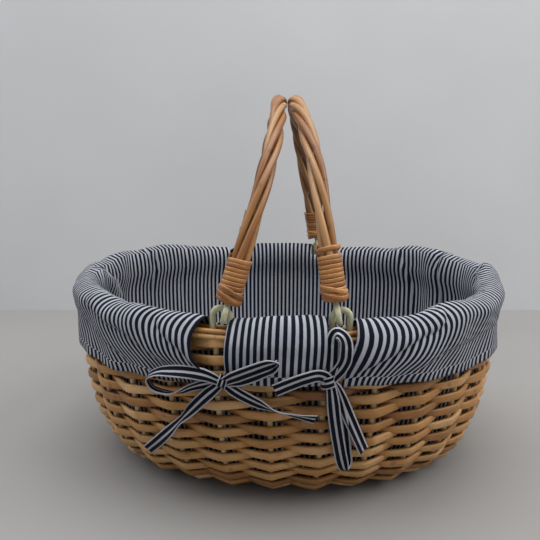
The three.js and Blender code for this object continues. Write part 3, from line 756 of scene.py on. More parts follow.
@dataclass
class WickerBody:
    """The woven wall and base with their stakes."""

    form: BasketForm
    rows: int = 26
    strand_width: float = 0.0082
    strand_thickness: float = 0.0036
    strand_flatness: float = 0.5
    slant: float = 0.0010
    swing: float = 0.0045
    kink: float = 0.9
    waver: float = 0.0014
    butt_girth: float = 1.06
    tip_thinning: float = 0.12
    uneven_girth: float = 0.04
    uneven_height: float = 0.0006
    middle_girth: float = 0.80
    outer_girth_gain: float = 0.24
    bend_girth_loss: float = 0.06
    # Painted shade: how much darker the wall's rods are painted where they pass behind the stakes.
    painted_shade_behind: float = 0.45
    foot_levelling: float = 0.7
    foot_swing: float = 0.6
    stake_diameter: float = 0.0050
    steps_between_stakes: int = 10
    base_steps_between_stakes: int = 6
    base_strand_width: float = 0.0058
    base_strand_thickness: float = 0.0032
    base_row_pitch: float = 0.0054
    base_height: float = 0.0053
    base_core_reach: float = 0.034
    base_swing: float = 0.0022
    stick_overlap: float = 0.012
    stick_lift: float = 0.001
    seed: int = 11

    def row_tones(self, numbers: Array, chance: np.random.Generator) -> tuple[Array, Array]:
        """Tone and girth along one row, in which rods follow each other from butt to tip."""
        count = int(chance.integers(2, 5))
        starts = np.sort(chance.uniform(0, self.form.stake_count, count))
        tones = chance.beta(2.6, 1.9, count)
        last = np.searchsorted(starts, numbers, side="right") - 1
        gone = np.mod(numbers - starts[last], self.form.stake_count)
        lengths = np.mod(np.roll(starts, -1) - starts, self.form.stake_count)
        share = gone / np.maximum(lengths[last], 1e-6)
        uneven = self.uneven_girth * np.sin(numbers * 1.9 + chance.uniform(0, TURN))
        return tones[last], self.butt_girth - self.tip_thinning * share + uneven

    def wall_rows(self) -> list[Strand]:
        """Rows of the wall from its foot to the border, each passing the stakes the other way."""
        form = self.form
        chance = np.random.default_rng(self.seed)
        numbers = np.arange(form.stake_count * self.steps_between_stakes) / self.steps_between_stakes
        angle = form.stake_angle(numbers)
        strands = []
        for row in range(self.rows):
            share = (row + 0.5) / self.rows
            reach, height = form.wall(share, 0.0)
            out, up = form.lean(share)
            slip = self.uneven_height * np.sin(numbers * chance.uniform(0.4, 1.3)
                                               + chance.uniform(0, TURN))
            slip = slip + self.slant * np.sin(math.pi * (numbers + row))
            points = form.oval(reach, height + slip * smooth_step(row, 0, 3), angle)
            outward = np.stack([out * np.cos(angle), out * np.sin(angle), np.full_like(angle, up)], axis=1)
            outward[:, 2] *= 1 - self.foot_levelling * (1 - smooth_step(row, 0, 4))
            outward = unit(outward) * (self.foot_swing + (1 - self.foot_swing) * smooth_step(row, 0, 3))
            tone, girth = self.row_tones(numbers, chance)
            wave = np.cos(math.pi * (numbers + row))
            girth = girth * (self.middle_girth + self.outer_girth_gain * wave
                             - self.bend_girth_loss * wave ** 2)
            # Painted shade: the tone is darkened where a rod passes behind a stake, as if in shadow there.
            tone = tone - self.painted_shade_behind * smooth_step(-wave, -0.4, 0.9)
            strands.append(Strand(points, outward, tone, girth, numbers + row, True))
        return strands

    def stake_lines(self) -> list[Strand]:
        """Stakes from the middle of the base to the border."""
        form = self.form
        chance = np.random.default_rng(self.seed + 1)
        strands = []
        for number in range(form.stake_count):
            angle = float(form.stake_angle(number))
            share = np.linspace(0, 1, 34)
            reach, height = form.wall(share, 0.0)
            up_wall = form.oval(reach, height, angle)
            in_base = form.oval(np.linspace(self.base_core_reach, form.base_half_length, 6)[:-1],
                                self.base_height, angle)
            points = np.vstack([in_base, up_wall])
            out, up = form.lean(np.concatenate([np.zeros(len(in_base)), share]))
            outward = np.stack([out * math.cos(angle), out * math.sin(angle), up], axis=1)
            strands.append(Strand.plain(points, outward, float(chance.uniform(0.3, 0.9))))
        return strands

    def base_rows(self) -> list[Strand]:
        """Oval rows of the base."""
        form = self.form
        chance = np.random.default_rng(self.seed + 2)
        reaches = np.arange(self.base_core_reach, form.base_half_length, self.base_row_pitch)
        steps = self.base_steps_between_stakes
        numbers = np.arange(form.stake_count * steps) / steps
        angle = form.stake_angle(numbers)
        squeeze = form.base_half_width / form.base_half_length
        room = np.sqrt(np.cos(angle) ** 2 + (squeeze * np.sin(angle)) ** 2)
        strands = []
        for row, reach in enumerate(reaches):
            points = form.oval(reach, self.base_height, angle)
            outward = np.tile([0.0, 0.0, -1.0], (len(angle), 1))
            tone, girth = self.row_tones(numbers, chance)
            strands.append(Strand(points, outward, tone, girth * room, numbers + row, True))
        return strands

    def base_sticks(self) -> list[Strand]:
        """Thick sticks crossed in the middle of the base."""
        half_length = self.base_core_reach + self.stick_overlap
        half_width = half_length * self.form.base_half_width / self.form.base_half_length
        down = np.tile([0, 0, -1.0], (8, 1))
        strands = []
        for across in np.linspace(-0.6, 0.6, 5) * half_width:
            reach = half_length * math.sqrt(1 - (across / half_width) ** 2)
            ends = [[side * reach, across, self.base_height + self.stick_lift] for side in (-1, 1)]
            strands.append(Strand.plain(spaced(np.array(ends), 8), down, 0.4))
        for across in np.linspace(-0.7, 0.7, 9) * half_length:
            reach = half_width * math.sqrt(1 - (across / half_length) ** 2)
            ends = [[across, side * reach, self.base_height - self.stick_lift] for side in (-1, 1)]
            strands.append(Strand.plain(spaced(np.array(ends), 8), down, 0.6))
        return strands

    def build(self, tree: StrandTree, willow: Material, stake_willow: Material) -> None:
        """Makes and settles the wall, the base and the stakes."""
        wall = tree.sweep("willow_wall", self.wall_rows(), willow, self.strand_width,
                          self.strand_thickness, flatness=self.strand_flatness, swing=self.swing,
                          kink=self.kink, waver=self.waver, seed=3)
        settle(wall, "root", "willow", "wall_weave")
        base = tree.sweep("willow_base", self.base_rows() + self.base_sticks(), willow,
                          self.base_strand_width, self.base_strand_thickness, swing=self.base_swing,
                          waver=0.0004, seed=4)
        settle(base, "root", "willow", "base_weave")
        stakes = tree.sweep("willow_stakes", self.stake_lines(), stake_willow, self.stake_diameter,
                            self.stake_diameter, waver=0.0006, seed=5)
        names = [f"stake_{number:02d}" for number in range(1, self.form.stake_count + 1)]
        settle(stakes, "root", "stake_willow", *names)


BORDER_TONES = {("outer", "top"): 0.45, ("outer", "low"): 0.85, ("inner", "top"): 0.3,
                ("inner", "low"): 0.6}


@dataclass
class RolledBorder:
    """Rods that run round the top of the wall, over a core of bent stake tips."""

    form: BasketForm
    rod_diameter: float = 0.0041
    rod_offset: float = 0.0047
    low_height: float = 0.1611
    top_height: float = 0.1654
    tip_diameter: float = 0.0044
    tip_stakes: float = 1.9
    tip_sink: float = 0.002
    tip_rise: float = 0.0075
    tip_drop: float = 0.003
    tip_inset: float = 0.0016
    tip_crossing: float = 0.0032
    tip_thinning: float = 0.4
    seed: int = 21

    def rod(self, offset: float, height: float, tone: float) -> Strand:
        """A rod once round the rim."""
        angle = np.linspace(0, TURN, 240, endpoint=False)
        points = self.form.oval(self.form.rim_half_length + offset, height, angle)
        outward = np.stack([np.cos(angle), np.sin(angle), np.zeros_like(angle)], axis=1)
        girth = 1 + 0.05 * np.sin(3 * angle + tone * 9)
        return Strand.plain(points, outward, tone, True, girth)

    def tips(self) -> list[Strand]:
        """Stake tips, each bent along the border from inside to outside."""
        form = self.form
        chance = np.random.default_rng(self.seed)
        strands = []
        for number in range(form.stake_count):
            share = np.linspace(0, 1, 18)
            angle = form.stake_angle(number + self.tip_stakes * share)
            rise = self.tip_rise * smooth_step(share, 0, 0.25)
            height = form.wall_top - self.tip_sink + rise - self.tip_drop * share
            offset = -self.tip_inset + self.tip_crossing * smooth_step(share, 0.2, 0.9)
            points = form.oval(form.rim_half_length + offset, height, angle)
            outward = np.stack([np.cos(angle), np.sin(angle), np.zeros_like(angle)], axis=1)
            girth = 1.0 - self.tip_thinning * share
            strands.append(Strand.plain(points, outward, float(chance.uniform(0.1, 0.8)), False, girth))
        return strands

    def build(self, tree: StrandTree, willow: Material) -> None:
        """Makes and settles the four rods and the core."""
        for level, height in (("top", self.top_height), ("low", self.low_height)):
            for edge, offset in (("outer", self.rod_offset), ("inner", -self.rod_offset)):
                rod = tree.sweep(f"willow_border_{edge}_{level}",
                                 [self.rod(offset, height, BORDER_TONES[edge, level])], willow,
                                 self.rod_diameter, self.rod_diameter, sides=10, waver=0.0006,
                                 waver_scale=18.0, seed=7)
                settle(rod, "root", "willow", f"border_rod_{edge}_{level}")
        core = tree.sweep("willow_border_tips", self.tips(), willow, self.tip_diameter,
                          self.tip_diameter, sides=8)
        settle(core, "root", "willow", "border_core")


@dataclass
class CordRing:
    """A ring of cord that stands in the border and carries a handle's link."""

    form: BasketForm
    x: float
    side: Side
    face: Face
    half: float = 0.0067
    diameter: float = 0.0050
    arch_height: float = 0.1760
    foot_height: float = 0.1590

    def build(self, tree: StrandTree, cord: Material) -> None:
        """Makes and settles the ring."""
        form = self.form
        x = self.side.value * self.x
        y = self.face.value * form.rim_half_width * math.sqrt(1 - (x / form.rim_half_length) ** 2)
        slope = -x * form.rim_half_width ** 2 / (y * form.rim_half_length ** 2)
        along = unit(np.array([1.0, slope, 0.0]))
        angles = np.linspace(math.pi, 0, 13)
        arch = [(self.half * math.cos(a), self.arch_height + self.half * math.sin(a)) for a in angles]
        flat = [(-self.half, self.foot_height), *arch, (self.half, self.foot_height)]
        points = np.array([[x, y, 0] + along * u + np.array([0, 0, z]) for u, z in flat])
        points = smooth_line(points, 48)
        outward = np.tile(np.cross(along, [0, 0, 1]), (len(points), 1))
        place = f"{self.face.name}_{self.side.name}".lower()
        ring = tree.sweep(f"cord_ring_{place}", [Strand.plain(points, outward, 0.5)], cord,
                          self.diameter, self.diameter, sides=14, waver=0.0005, seed=9)
        settle(ring, "root", "ring_cord", f"ring_{place}")


@dataclass
class SwingHandle:
    """A handle of four twisted rods, bound at both ends and hung on the rings by cord links."""

    form: BasketForm
    side: Side
    ring_back_x: float
    ring_front_x: float = 0.045
    pivot_offset: float = 0.0016
    pivot_height: float = 0.1735
    height: float = 0.3455
    rod_diameter: float = 0.0057
    rod_ring: float = 0.00435
    bundle_radius: float = 0.00715
    tip_gap: float = 0.0005
    front_bow: float = 0.0045
    rod_start: float = 0.0168
    turns: float = 2.7
    strip_width: float = 0.0033
    strip_thickness: float = 0.0014
    strip_pitch: float = 0.0033
    strip_turns: int = 10
    strip_steps: int = 22
    strip_start: float = 0.0155
    raised_start: float = 0.0028
    low_slant: float = 0.0013
    high_slant: float = 0.0003
    low_swell: float = 0.0007
    crossing_start: float = 0.0034
    crossing_pitch: float = 0.0033
    crossing_tilt: float = 0.0030
    crossing_swell: float = 0.0011
    top_ring_turn: float = 0.8
    top_ring_slant: float = 0.0040
    top_ring_swell: float = 0.0005
    link_diameter: float = 0.0045
    link_spread: float = 0.0069
    link_neck: float = 0.0032

    def __post_init__(self) -> None:
        """Tabulates the arch that the rods follow."""
        front = self.pivot(self.ring_front_x, Face.FRONT)
        back = self.pivot(self.ring_back_x, Face.BACK)
        middle = (front + back) / 2
        tip_x = self.side.value * (self.bundle_radius + self.tip_gap / 2)
        tip = np.array([tip_x, middle[1], self.height - self.bundle_radius])
        t = np.linspace(0, 1, 1201)[:, None]
        bow = np.where(t < 0.5, self.front_bow * np.sin(TURN * t) ** 2, 0)
        self.arch = middle + (front - middle) * np.cos(math.pi * t) + (tip - middle) * np.sin(math.pi * t)
        self.arch[:, :1] += bow
        self.run = distances(self.arch)
        self.tangents = unit(np.gradient(self.arch, axis=0))
        self.across = unit(np.cross(front - middle, tip - middle))

    def pivot(self, ring_x: float, face: Face) -> Array:
        """Place where the link turns in its ring."""
        form = self.form
        x = self.side.value * (ring_x - self.pivot_offset)
        y = face.value * form.rim_half_width * math.sqrt(1 - (x / form.rim_half_length) ** 2)
        return np.array([x, y, self.pivot_height])

    def on_arch(self, distance: Array) -> tuple[Array, Array]:
        """Point and direction of the arch at a distance from the front pivot."""
        point = np.stack([np.interp(distance, self.run, c) for c in self.arch.T], axis=-1)
        tangent = unit(np.stack([np.interp(distance, self.run, c) for c in self.tangents.T], axis=-1))
        return point, tangent

    def around(self, distance: Array, radius: Array | float, angle: Array) -> tuple[Array, Array]:
        """Points off the arch by a radius at an angle round it, and their outward directions."""
        point, tangent = self.on_arch(distance)
        across = unit(self.across - tangent * (tangent @ self.across)[:, None])
        third = np.cross(tangent, across)
        outward = across * np.cos(angle)[:, None] + third * np.sin(angle)[:, None]
        return point + outward * np.asarray(radius).reshape(-1, 1), outward

    def rod(self, number: int) -> Strand:
        """One of the twisted rods."""
        t = np.linspace(0, 1, 150)
        distance = self.rod_start + (self.run[-1] - 2 * self.rod_start) * t
        twist = t - 0.45 * np.sin(TURN * t) / TURN
        angle = (number + 0.5) / 4 * TURN - self.side.value * self.turns * TURN * twist
        points, outward = self.around(distance, self.rod_ring, angle)
        chance = np.random.default_rng(40 + 10 * self.side.value + number)
        tone = float(chance.uniform(0.35, 0.95))
        girth = 1 + 0.05 * np.sin(t * 9 + chance.uniform(0, TURN)) + 0.04 * (t - 0.5)
        return Strand.plain(points, outward, tone, False, girth)

    def strip(self, face: Face) -> list[Strand]:
        """The strip of split willow wound round one end, with a few slanting turns below.

        The front right one starts higher and has one more ring above it.
        """
        raised = self.side is Side.RIGHT and face is Face.FRONT
        steps = self.strip_steps
        turns = np.arange(self.strip_turns * steps + 1) / steps
        chance = np.random.default_rng(70 + 5 * self.side.value + face.value)
        start = self.strip_start + (self.raised_start if raised else 0)
        slant = self.low_slant * (1 - smooth_step(turns, 0, 5)) + self.high_slant
        lean = chance.uniform(0, TURN)
        along = start + turns * self.strip_pitch + slant * np.cos(turns * TURN - lean)
        swell = self.low_swell * (1 - smooth_step(turns, 0, 4))
        strands = [self.wound(along, turns, swell, face, 0.45)]
        for extra in range(2):
            turns = np.arange(steps + 8) / steps
            tilt = self.crossing_tilt * np.cos(turns * TURN - lean - 0.8 * extra)
            along = start + self.crossing_start + self.crossing_pitch * extra + tilt
            swell = np.full(len(turns), self.crossing_swell)
            strands.append(self.wound(along, turns, swell, face, float(chance.uniform(0.2, 0.7))))
        if raised:
            turns = np.arange(steps + 1) / steps
            along = start + (self.strip_turns + self.top_ring_turn) * self.strip_pitch
            along = along + self.top_ring_slant * turns
            swell = self.top_ring_swell * np.sin(math.pi * turns)
            strands.append(self.wound(along, turns, swell, face, 0.5))
        return strands

    def wound(self, along: Array, turns: Array, swell: Array, face: Face, tone: float) -> Strand:
        """A strip that goes round the rods at given distances from the pivot."""
        distance = along if face is Face.FRONT else self.run[-1] - along
        facing = np.cos(turns * TURN)
        lobes = 0.0006 * (2 * facing ** 2 - 1) - 0.0007 * np.exp(-((facing / 0.3) ** 2))
        radius = self.bundle_radius + self.strip_thickness / 2 + 0.0001 + swell + lobes
        points, outward = self.around(distance, radius, turns * TURN)
        strand = Strand.plain(points, outward, tone, False, 1 + 0.07 * np.sin(turns * 4.1))
        strand.tone = tone + 0.22 * np.sin(turns * 2.7 + 11 * tone) * np.cos(turns * 1.1)
        return strand

    def link(self, face: Face) -> Strand:
        """The loop of cord that hangs one end of the handle on its ring."""
        along = unit(self.pivot(self.ring_back_x, Face.BACK) - self.pivot(self.ring_front_x, Face.FRONT))
        bend = self.link_diameter / 2
        half = [(self.link_neck, self.rod_start + 0.003), (self.link_neck, self.rod_start - 0.001),
                (self.link_neck + 0.0008, 0.0125), (self.link_spread, 0.0075),
                (self.link_spread, bend), (self.link_spread - bend, 0.0)]
        loop = half + [(-spread, height) for spread, height in reversed(half)]
        points = []
        for spread, height in loop:
            distance = height if face is Face.FRONT else self.run[-1] - height
            point, tangent = self.on_arch(np.array([distance]))
            square = unit(along - tangent[0] * (along @ tangent[0]))
            points.append(point[0] + square * spread)
        points = smooth_line(np.array(points), 60)
        outward = np.tile(self.across, (len(points), 1))
        return Strand.plain(points, outward, 0.5)

    def build(self, tree: StrandTree, willow: Material, split: Material, cord: Material) -> None:
        """Makes and settles the handle's rods, bindings and links."""
        label = self.side.name.lower()
        body = f"handle_{label}"
        for number in range(4):
            rod = tree.sweep(f"willow_{body}_rod_{number + 1}", [self.rod(number)], willow,
                             self.rod_diameter, self.rod_diameter, sides=12, waver=0.0010,
                             waver_scale=22.0, seed=12 + number)
            settle(rod, body, "handle_willow", f"{body}_rod_{number + 1}")
        for face in Face:
            end = face.name.lower()
            binding = tree.sweep(f"split_{body}_binding_{end}", self.strip(face), split,
                                 self.strip_width, self.strip_thickness, flatness=0.35, sides=8,
                                 waver=0.0004, waver_scale=140.0, seed=17)
            settle(binding, body, "binding_willow", f"{body}_binding_{end}")
            link = tree.sweep(f"cord_{body}_link_{end}", [self.link(face)], cord, self.link_diameter,
                              self.link_diameter, sides=14)
            settle(link, body, "ring_cord", f"{body}_link_{end}")


@dataclass(frozen=True)
class Tie:
    """How a ribbon draws the skirt beside its slot, by distance from the slot's outer edge.

    The waist pairs say how far the cloth rolls away from the ribbon below the fold's top, and the
    hem pairs how far the hem is drawn towards it.
    """

    waist: tuple[tuple[float, float], ...]
    hem: tuple[tuple[float, float], ...]
    inner_hem: float

    def draw(self, away: Array, down: Array, depth: Array) -> Array:
        """Length by which the cloth is drawn towards the ribbon.

        Args:
            away: Distance from the slot's outer edge.
            down: Length down the skirt from the fold's top.
            depth: The same as a share of the skirt.

        Returns:
            The length, below zero where the cloth rolls away.
        """
        waist = np.interp(away, *np.transpose(self.waist))
        hem = np.interp(away, *np.transpose(self.hem))
        roll_length = np.interp(away, (0, 0.02), (0.027, 0.015))
        rolled = np.sin(math.pi / 2 * np.clip((down + 0.002) / roll_length, 0, 1))
        rolled = rolled * (1 - 0.85 * smooth_step(depth, 0.55, 1.0))
        return hem * smooth_step(depth, 0.22, 1.0) - waist * rolled


LOOSE_TIE = Tie(((0.0, 0.0084), (0.030, 0.0080), (0.100, 0.0060), (0.205, 0.0)),
                ((0.0, 0.0060), (0.030, 0.0150), (0.060, 0.0240), (0.115, 0.0260), (0.205, 0.0)), 0.0)
TURNED_TIE = Tie(((0.0, -0.0034), (0.012, 0.0020), (0.030, 0.0060), (0.100, 0.0060), (0.205, 0.0)),
                 ((0.0, 0.0120), (0.025, 0.0150), (0.050, 0.0220), (0.120, 0.0200), (0.205, 0.0)),
                 0.0026)


@dataclass(frozen=True)
class Slot:
    """A gap in the skirt at a ring, by its edges along the rim, and the tie that draws it."""

    inner: float
    outer: float
    tie: Tie


@dataclass(frozen=True)
class Crease:
    """A sharp fold that puffs the cloth on one side of a line and drops steeply on the other.

    The line's stops are lengths along the rim and down the cloth from the fold's top.
    """

    stops: tuple[tuple[float, float], ...]
    height: float = 0.0026
    side: int = 1
    reach: float = 0.013
    edge: float = 0.0021

    def relief(self, run: Array, down: Array) -> Array:
        """How far the fold lifts the cloth at its places."""
        line = smooth_line(np.array(self.stops), 36)
        heading = unit(np.gradient(line, axis=0))
        gap = np.stack([run, down], axis=-1)[..., None, :] - line
        nearest = np.argmin(np.linalg.norm(gap, axis=-1), axis=-1)
        gap = np.take_along_axis(gap, nearest[..., None, None], axis=-2)[..., 0, :]
        along = heading[nearest]
        beside = self.side * (along[..., 0] * gap[..., 1] - along[..., 1] * gap[..., 0])
        beyond = np.sum(along * gap, axis=-1)
        share = nearest / (len(line) - 1)
        fade = smooth_step(share, 0, 0.15) * (1 - smooth_step(share, 0.75, 1.0))
        fade = fade * np.exp(-((beyond / 0.004) ** 2))
        over = np.maximum(beside, 0)
        under = np.minimum(beside, 0)
        puffed = np.exp(-over / self.reach) * (1 - 1.4 * np.exp(-over / self.edge))
        return self.height * fade * np.where(beside > 0, puffed, -0.4 * np.exp(under / 0.0035))


@dataclass
class ClothLiner:
    """The striped cloth: a bag inside, a fold over the border and a skirt outside with four slots."""

    form: BasketForm
    column_pitch: float = 0.0017
    inner_rows: int = 26
    outer_rows: int = 34
    hem_band: float = 0.0074
    inner_offset: float = -0.0074
    floor_height: float = 0.0130
    floor_rings: int = 8
    cloth_thickness: float = 0.0009
    stripe_pitch: float = 0.0050
    stitch_pitch: float = 0.0040
    stitch_length: float = 0.0026
    stitch_thread: float = 0.00042
    hem_waver: float = 0.0005
    hem_lift: float = 0.0004
    skirt_puff: float = 0.0008
    end_tightness: float = 0.0040
    puff_waver: float = 0.0010
    fold_lean: float = 0.0010
    hem_flare: float = 0.0036
    middle_flare: float = 0.0044
    end_flare_loss: float = 0.0012
    middle_half_length: float = 0.027
    skirt_ripple: float = 0.0011
    bag_ripple: float = 0.0007
    side_waver: float = 0.0010
    floor_ripple: float = 0.0006
    ripple_waves: int = 7
    ripple_scale: float = 3.2
    crest_heights: tuple[tuple[float, float], ...] = (
        (-0.520, 0.1800), (-0.494, 0.1797), (-0.4585, 0.1755), (-0.435, 0.1778), (-0.404, 0.1798),
        (-0.396, 0.1832), (-0.371, 0.1853), (-0.365, 0.1844), (-0.343, 0.1834), (-0.314, 0.1858),
        (-0.301, 0.1848), (-0.292, 0.1816), (-0.272, 0.1830), (-0.250, 0.1822), (-0.224, 0.1800),
        (-0.173, 0.1795), (-0.160, 0.1785), (-0.150, 0.1770), (-0.142, 0.1742), (-0.123, 0.1760),
        (-0.106, 0.1775), (-0.094, 0.1756), (-0.084, 0.1746), (-0.067, 0.1755), (-0.058, 0.1745),
        (-0.037, 0.1738), (-0.016, 0.1760), (-0.001, 0.1780), (0.029, 0.1780), (0.058, 0.1741),
        (0.076, 0.1738), (0.093, 0.1722), (0.102, 0.1721), (0.1115, 0.1740), (0.120, 0.1756),
        (0.126, 0.1774), (0.132, 0.1789), (0.140, 0.1794), (0.151, 0.1781), (0.164, 0.1768),
        (0.190, 0.1765), (0.230, 0.1785), (0.260, 0.1818), (0.272, 0.1842), (0.287, 0.1835),
        (0.311, 0.1826), (0.328, 0.1834), (0.338, 0.1834), (0.344, 0.1872), (0.366, 0.1869),
        (0.386, 0.1857), (0.401, 0.1806), (0.409, 0.1796), (0.443, 0.1792), (0.466, 0.1765),
        (0.484, 0.1758), (0.503, 0.1795), (0.520, 0.1800))
    hem_heights: tuple[tuple[float, float], ...] = (
        (-0.500, 0.127), (-0.440, 0.125), (-0.360, 0.122), (-0.265, 0.1200), (-0.190, 0.1195),
        (-0.165, 0.1188), (-0.140, 0.1212), (-0.120, 0.1218), (-0.098, 0.1226), (-0.068, 0.1236),
        (-0.029, 0.1288), (0.010, 0.1282), (0.030, 0.1266), (0.049, 0.1256), (0.078, 0.1248),
        (0.112, 0.1238), (0.151, 0.1208), (0.177, 0.1208), (0.207, 0.1218), (0.265, 0.1225),
        (0.360, 0.123), (0.440, 0.125), (0.500, 0.127))
    gathers: tuple[tuple[float, float, float], ...] = ((-0.312, 0.48, 0.017), (0.356, 0.48, 0.022),
                                                       (-0.225, 0.3, 0.02), (0.285, 0.35, 0.02))
    seed: int = 31

    def __post_init__(self) -> None:
        """Sets out the slots beside the rings and the creases."""
        half = self.form.rim_length / 2
        self.slots = {
            (Side.LEFT, Face.FRONT): Slot(-0.0384, -0.0552, LOOSE_TIE),
            (Side.RIGHT, Face.FRONT): Slot(0.0332, 0.0563, TURNED_TIE),
            (Side.LEFT, Face.BACK): Slot(-(half - 0.0490), -(half - 0.0750), TURNED_TIE),
            (Side.RIGHT, Face.BACK): Slot(half - 0.0290, half - 0.0550, LOOSE_TIE),
        }
        self.creases = [
            Crease(((-0.180, 0.012), (-0.170, 0.017), (-0.127, 0.026), (-0.099, 0.038), (-0.078, 0.049)),
                   0.0034, -1),
            Crease(((-0.100, 0.008), (-0.096, 0.012), (-0.086, 0.021), (-0.073, 0.029), (-0.063, 0.038),
                    (-0.055, 0.047)), 0.0024, -1),
            Crease(((-0.235, 0.030), (-0.190, 0.036), (-0.140, 0.046), (-0.110, 0.054)), 0.0018, -1),
            Crease(((0.134, 0.000), (0.124, 0.013), (0.1005, 0.020), (0.078, 0.032), (0.055, 0.043),
                    (0.044, 0.047)), 0.0036, 1),
            Crease(((0.225, 0.034), (0.180, 0.036), (0.130, 0.041), (0.085, 0.048)), 0.0018, 1),
            Crease(((half - 0.170, 0.014), (half - 0.120, 0.026), (half - 0.072, 0.048)), 0.0030, -1),
            Crease(((-half + 0.170, 0.014), (-half + 0.120, 0.026), (-half + 0.072, 0.048)), 0.0030, 1),
            Crease(((-0.150, -0.004), (-0.172, -0.030), (-0.186, -0.075), (-0.190, -0.120)), 0.0045, 1,
                   0.016),
            Crease(((-0.246, 0.004), (-0.262, -0.006), (-0.2825, -0.019), (-0.3053, -0.045),
                    (-0.316, -0.080)), 0.0070, 1, 0.014, 0.0026),
            Crease(((-0.3425, 0.006), (-0.3455, -0.002), (-0.350, -0.010), (-0.3577, -0.014),
                    (-0.354, -0.030), (-0.350, -0.060)), 0.0042, -1, 0.008),
            Crease(((-0.396, 0.005), (-0.398, -0.008), (-0.394, -0.030), (-0.392, -0.070)), 0.0026, -1,
                   0.010),
            Crease(((0.392, 0.003), (0.386, -0.014), (0.372, -0.045), (0.368, -0.090)), 0.0036, 1, 0.011),
            Crease(((0.3425, 0.006), (0.336, -0.010), (0.333, -0.024), (0.331, -0.054), (0.330, -0.100)),
                   0.0060, -1, 0.016, 0.0026),
            Crease(((0.284, 0.006), (0.272, -0.004), (0.2588, -0.012), (0.240, -0.020), (0.222, -0.030)),
                   0.0075, -1, 0.014, 0.0028),
        ]

    @property
    def seam_row(self) -> int:
        """Row of the cloth's points that lies on the hem's seam."""
        return self.inner_rows + self.outer_rows

    def columns(self) -> tuple[Array, Array]:
        """Lengths along the rim of the columns, and whether the strip after each lies in a slot."""
        edges = []
        for slot in self.slots.values():
            edges.append((min(slot.inner, slot.outer), True))
            edges.append((max(slot.inner, slot.outer), False))
        edges.sort()
        places = []
        in_slot = []
        total = self.form.rim_length
        for (start, opens), (end, _) in zip(edges, edges[1:] + [(edges[0][0] + total, True)]):
            count = max(4, int(round((end - start) / self.column_pitch)))
            places.append(np.linspace(start, end, count, endpoint=False))
            in_slot.append(np.full(count, opens))
        return np.concatenate(places), np.concatenate(in_slot)

    def ripple(self, run: Array, down: Array, waves: tuple[int, int], rate: float, seed: int) -> Array:
        """A gentle random ripple that closes on itself round the rim, from about -1 to 1."""
        chance = np.random.default_rng(self.seed + seed)
        total = np.zeros(np.broadcast(run, down).shape)
        for _ in range(self.ripple_waves):
            count = chance.integers(*waves)
            slope = chance.normal(0, rate)
            total = total + np.sin(TURN * count * run / self.form.rim_length + slope * down
                                   + chance.uniform(0, TURN))
        return total / self.ripple_scale

    def centred(self, run: Array) -> Array:
        """Length along the rim from the front centre, less than half of it to either side."""
        total = self.form.rim_length
        return np.mod(run + total / 2, total) - total / 2

    def crest(self, run: Array) -> Array:
        """Height of the fold's top along the rim."""
        spread = np.array([-0.005, -0.0025, 0.0, 0.0025, 0.005])
        near = self.centred(run[:, None] + spread)
        return np.interp(near, *np.transpose(self.crest_heights)).mean(axis=1)

    def hem(self, run: Array) -> Array:
        """Height of the hem along the rim."""
        height = np.interp(self.centred(run), *np.transpose(self.hem_heights))
        return height + self.hem_waver * self.ripple(run, np.zeros_like(run), (10, 34), 1.0, 7)

    def sections(self, run: Array) -> list[Array]:
        """Sections of the cloth as dense lines of reach and height, from the bag's foot to the hem."""
        form = self.form
        angle = form.rim_angle(run)
        crest = self.crest(run)
        hem = self.hem(run)
        level_run = np.zeros_like(run)
        ends = smooth_step(np.abs(np.cos(angle)), 0.45, 0.9)
        waver = self.puff_waver * self.ripple(run, level_run, (3, 14), 1.0, 2)
        puff = self.skirt_puff - self.end_tightness * ends + waver
        lean = self.fold_lean * self.ripple(run, level_run, (8, 40), 1.0, 8)
        middle = np.exp(-((self.centred(run) / self.middle_half_length) ** 4))
        flare = self.hem_flare + self.middle_flare * middle - self.end_flare_loss * ends
        lines = []
        for i in range(len(run)):
            shares = np.array([0.01, 0.12, 0.25, 0.42, 0.6, 0.78, 0.92])
            reach, height = form.wall(shares, self.inner_offset)
            height = np.maximum(height, self.floor_height)
            inside = np.stack([reach, height], axis=1)
            top = crest[i]
            drop = top - hem[i]
            offset = np.array([-0.0094, -0.0092, -0.0056 + lean[i], 0.0002 + 1.4 * lean[i],
                               0.0056 + lean[i], 0.0102 + 0.5 * lean[i] + 0.0012 * ends[i], 0.0130 + puff[i],
                               0.0138 + 1.6 * puff[i], 0.0126 + puff[i] + 0.003 * middle[i]])
            level = np.array([0.1590, 0.1685, top - 0.0021, top, top - 0.0021, top - 0.0080,
                              top - 0.36 * drop, top - 0.58 * drop, top - 0.80 * drop])
            over = np.stack([form.rim_half_length + offset, level], axis=1)
            outer_wall = form.wall_reach(hem[i], form.wall_thickness / 2)
            end = np.array([[outer_wall + flare[i], hem[i]]])
            lines.append(smooth_line(np.vstack([inside, over, end]), 400))
        return lines

    def shift(self, run: Array, down: Array) -> Array:
        """How far the ties pull the cloth along the rim."""
        depth = np.clip(down / down[:, -1:], 0, 1)
        total = self.form.rim_length
        moved = np.zeros(down.shape)
        for (side, face), slot in self.slots.items():
            sign = side.value * (1 if face is Face.FRONT else -1)
            away = np.mod((run - slot.outer) * sign + total / 2, total) - total / 2
            drawn = slot.tie.draw(np.maximum(away, 0), down, depth)
            moved = moved - sign * np.where(away > -0.0005, drawn, 0.0)
            past = np.mod((slot.inner - run) * sign + total / 2, total) - total / 2
            tucked = slot.tie.inner_hem * np.exp(-np.maximum(past, 0) / 0.020) * smooth_step(depth, 0.1, 1.0)
            moved = moved - sign * np.where(past > -0.0005, tucked, 0.0)
        for centre, amount, width in self.gathers:
            beside = self.centred(run - centre)
            pressed = amount * beside * np.exp(-((beside / width) ** 2))
            moved = moved - pressed * smooth_step(-down, 0.004, 0.022)
        waver = self.side_waver * self.ripple(run, down, (6, 26), 40.0, 3)
        return moved + waver * smooth_step(down, -0.02, 0.02)

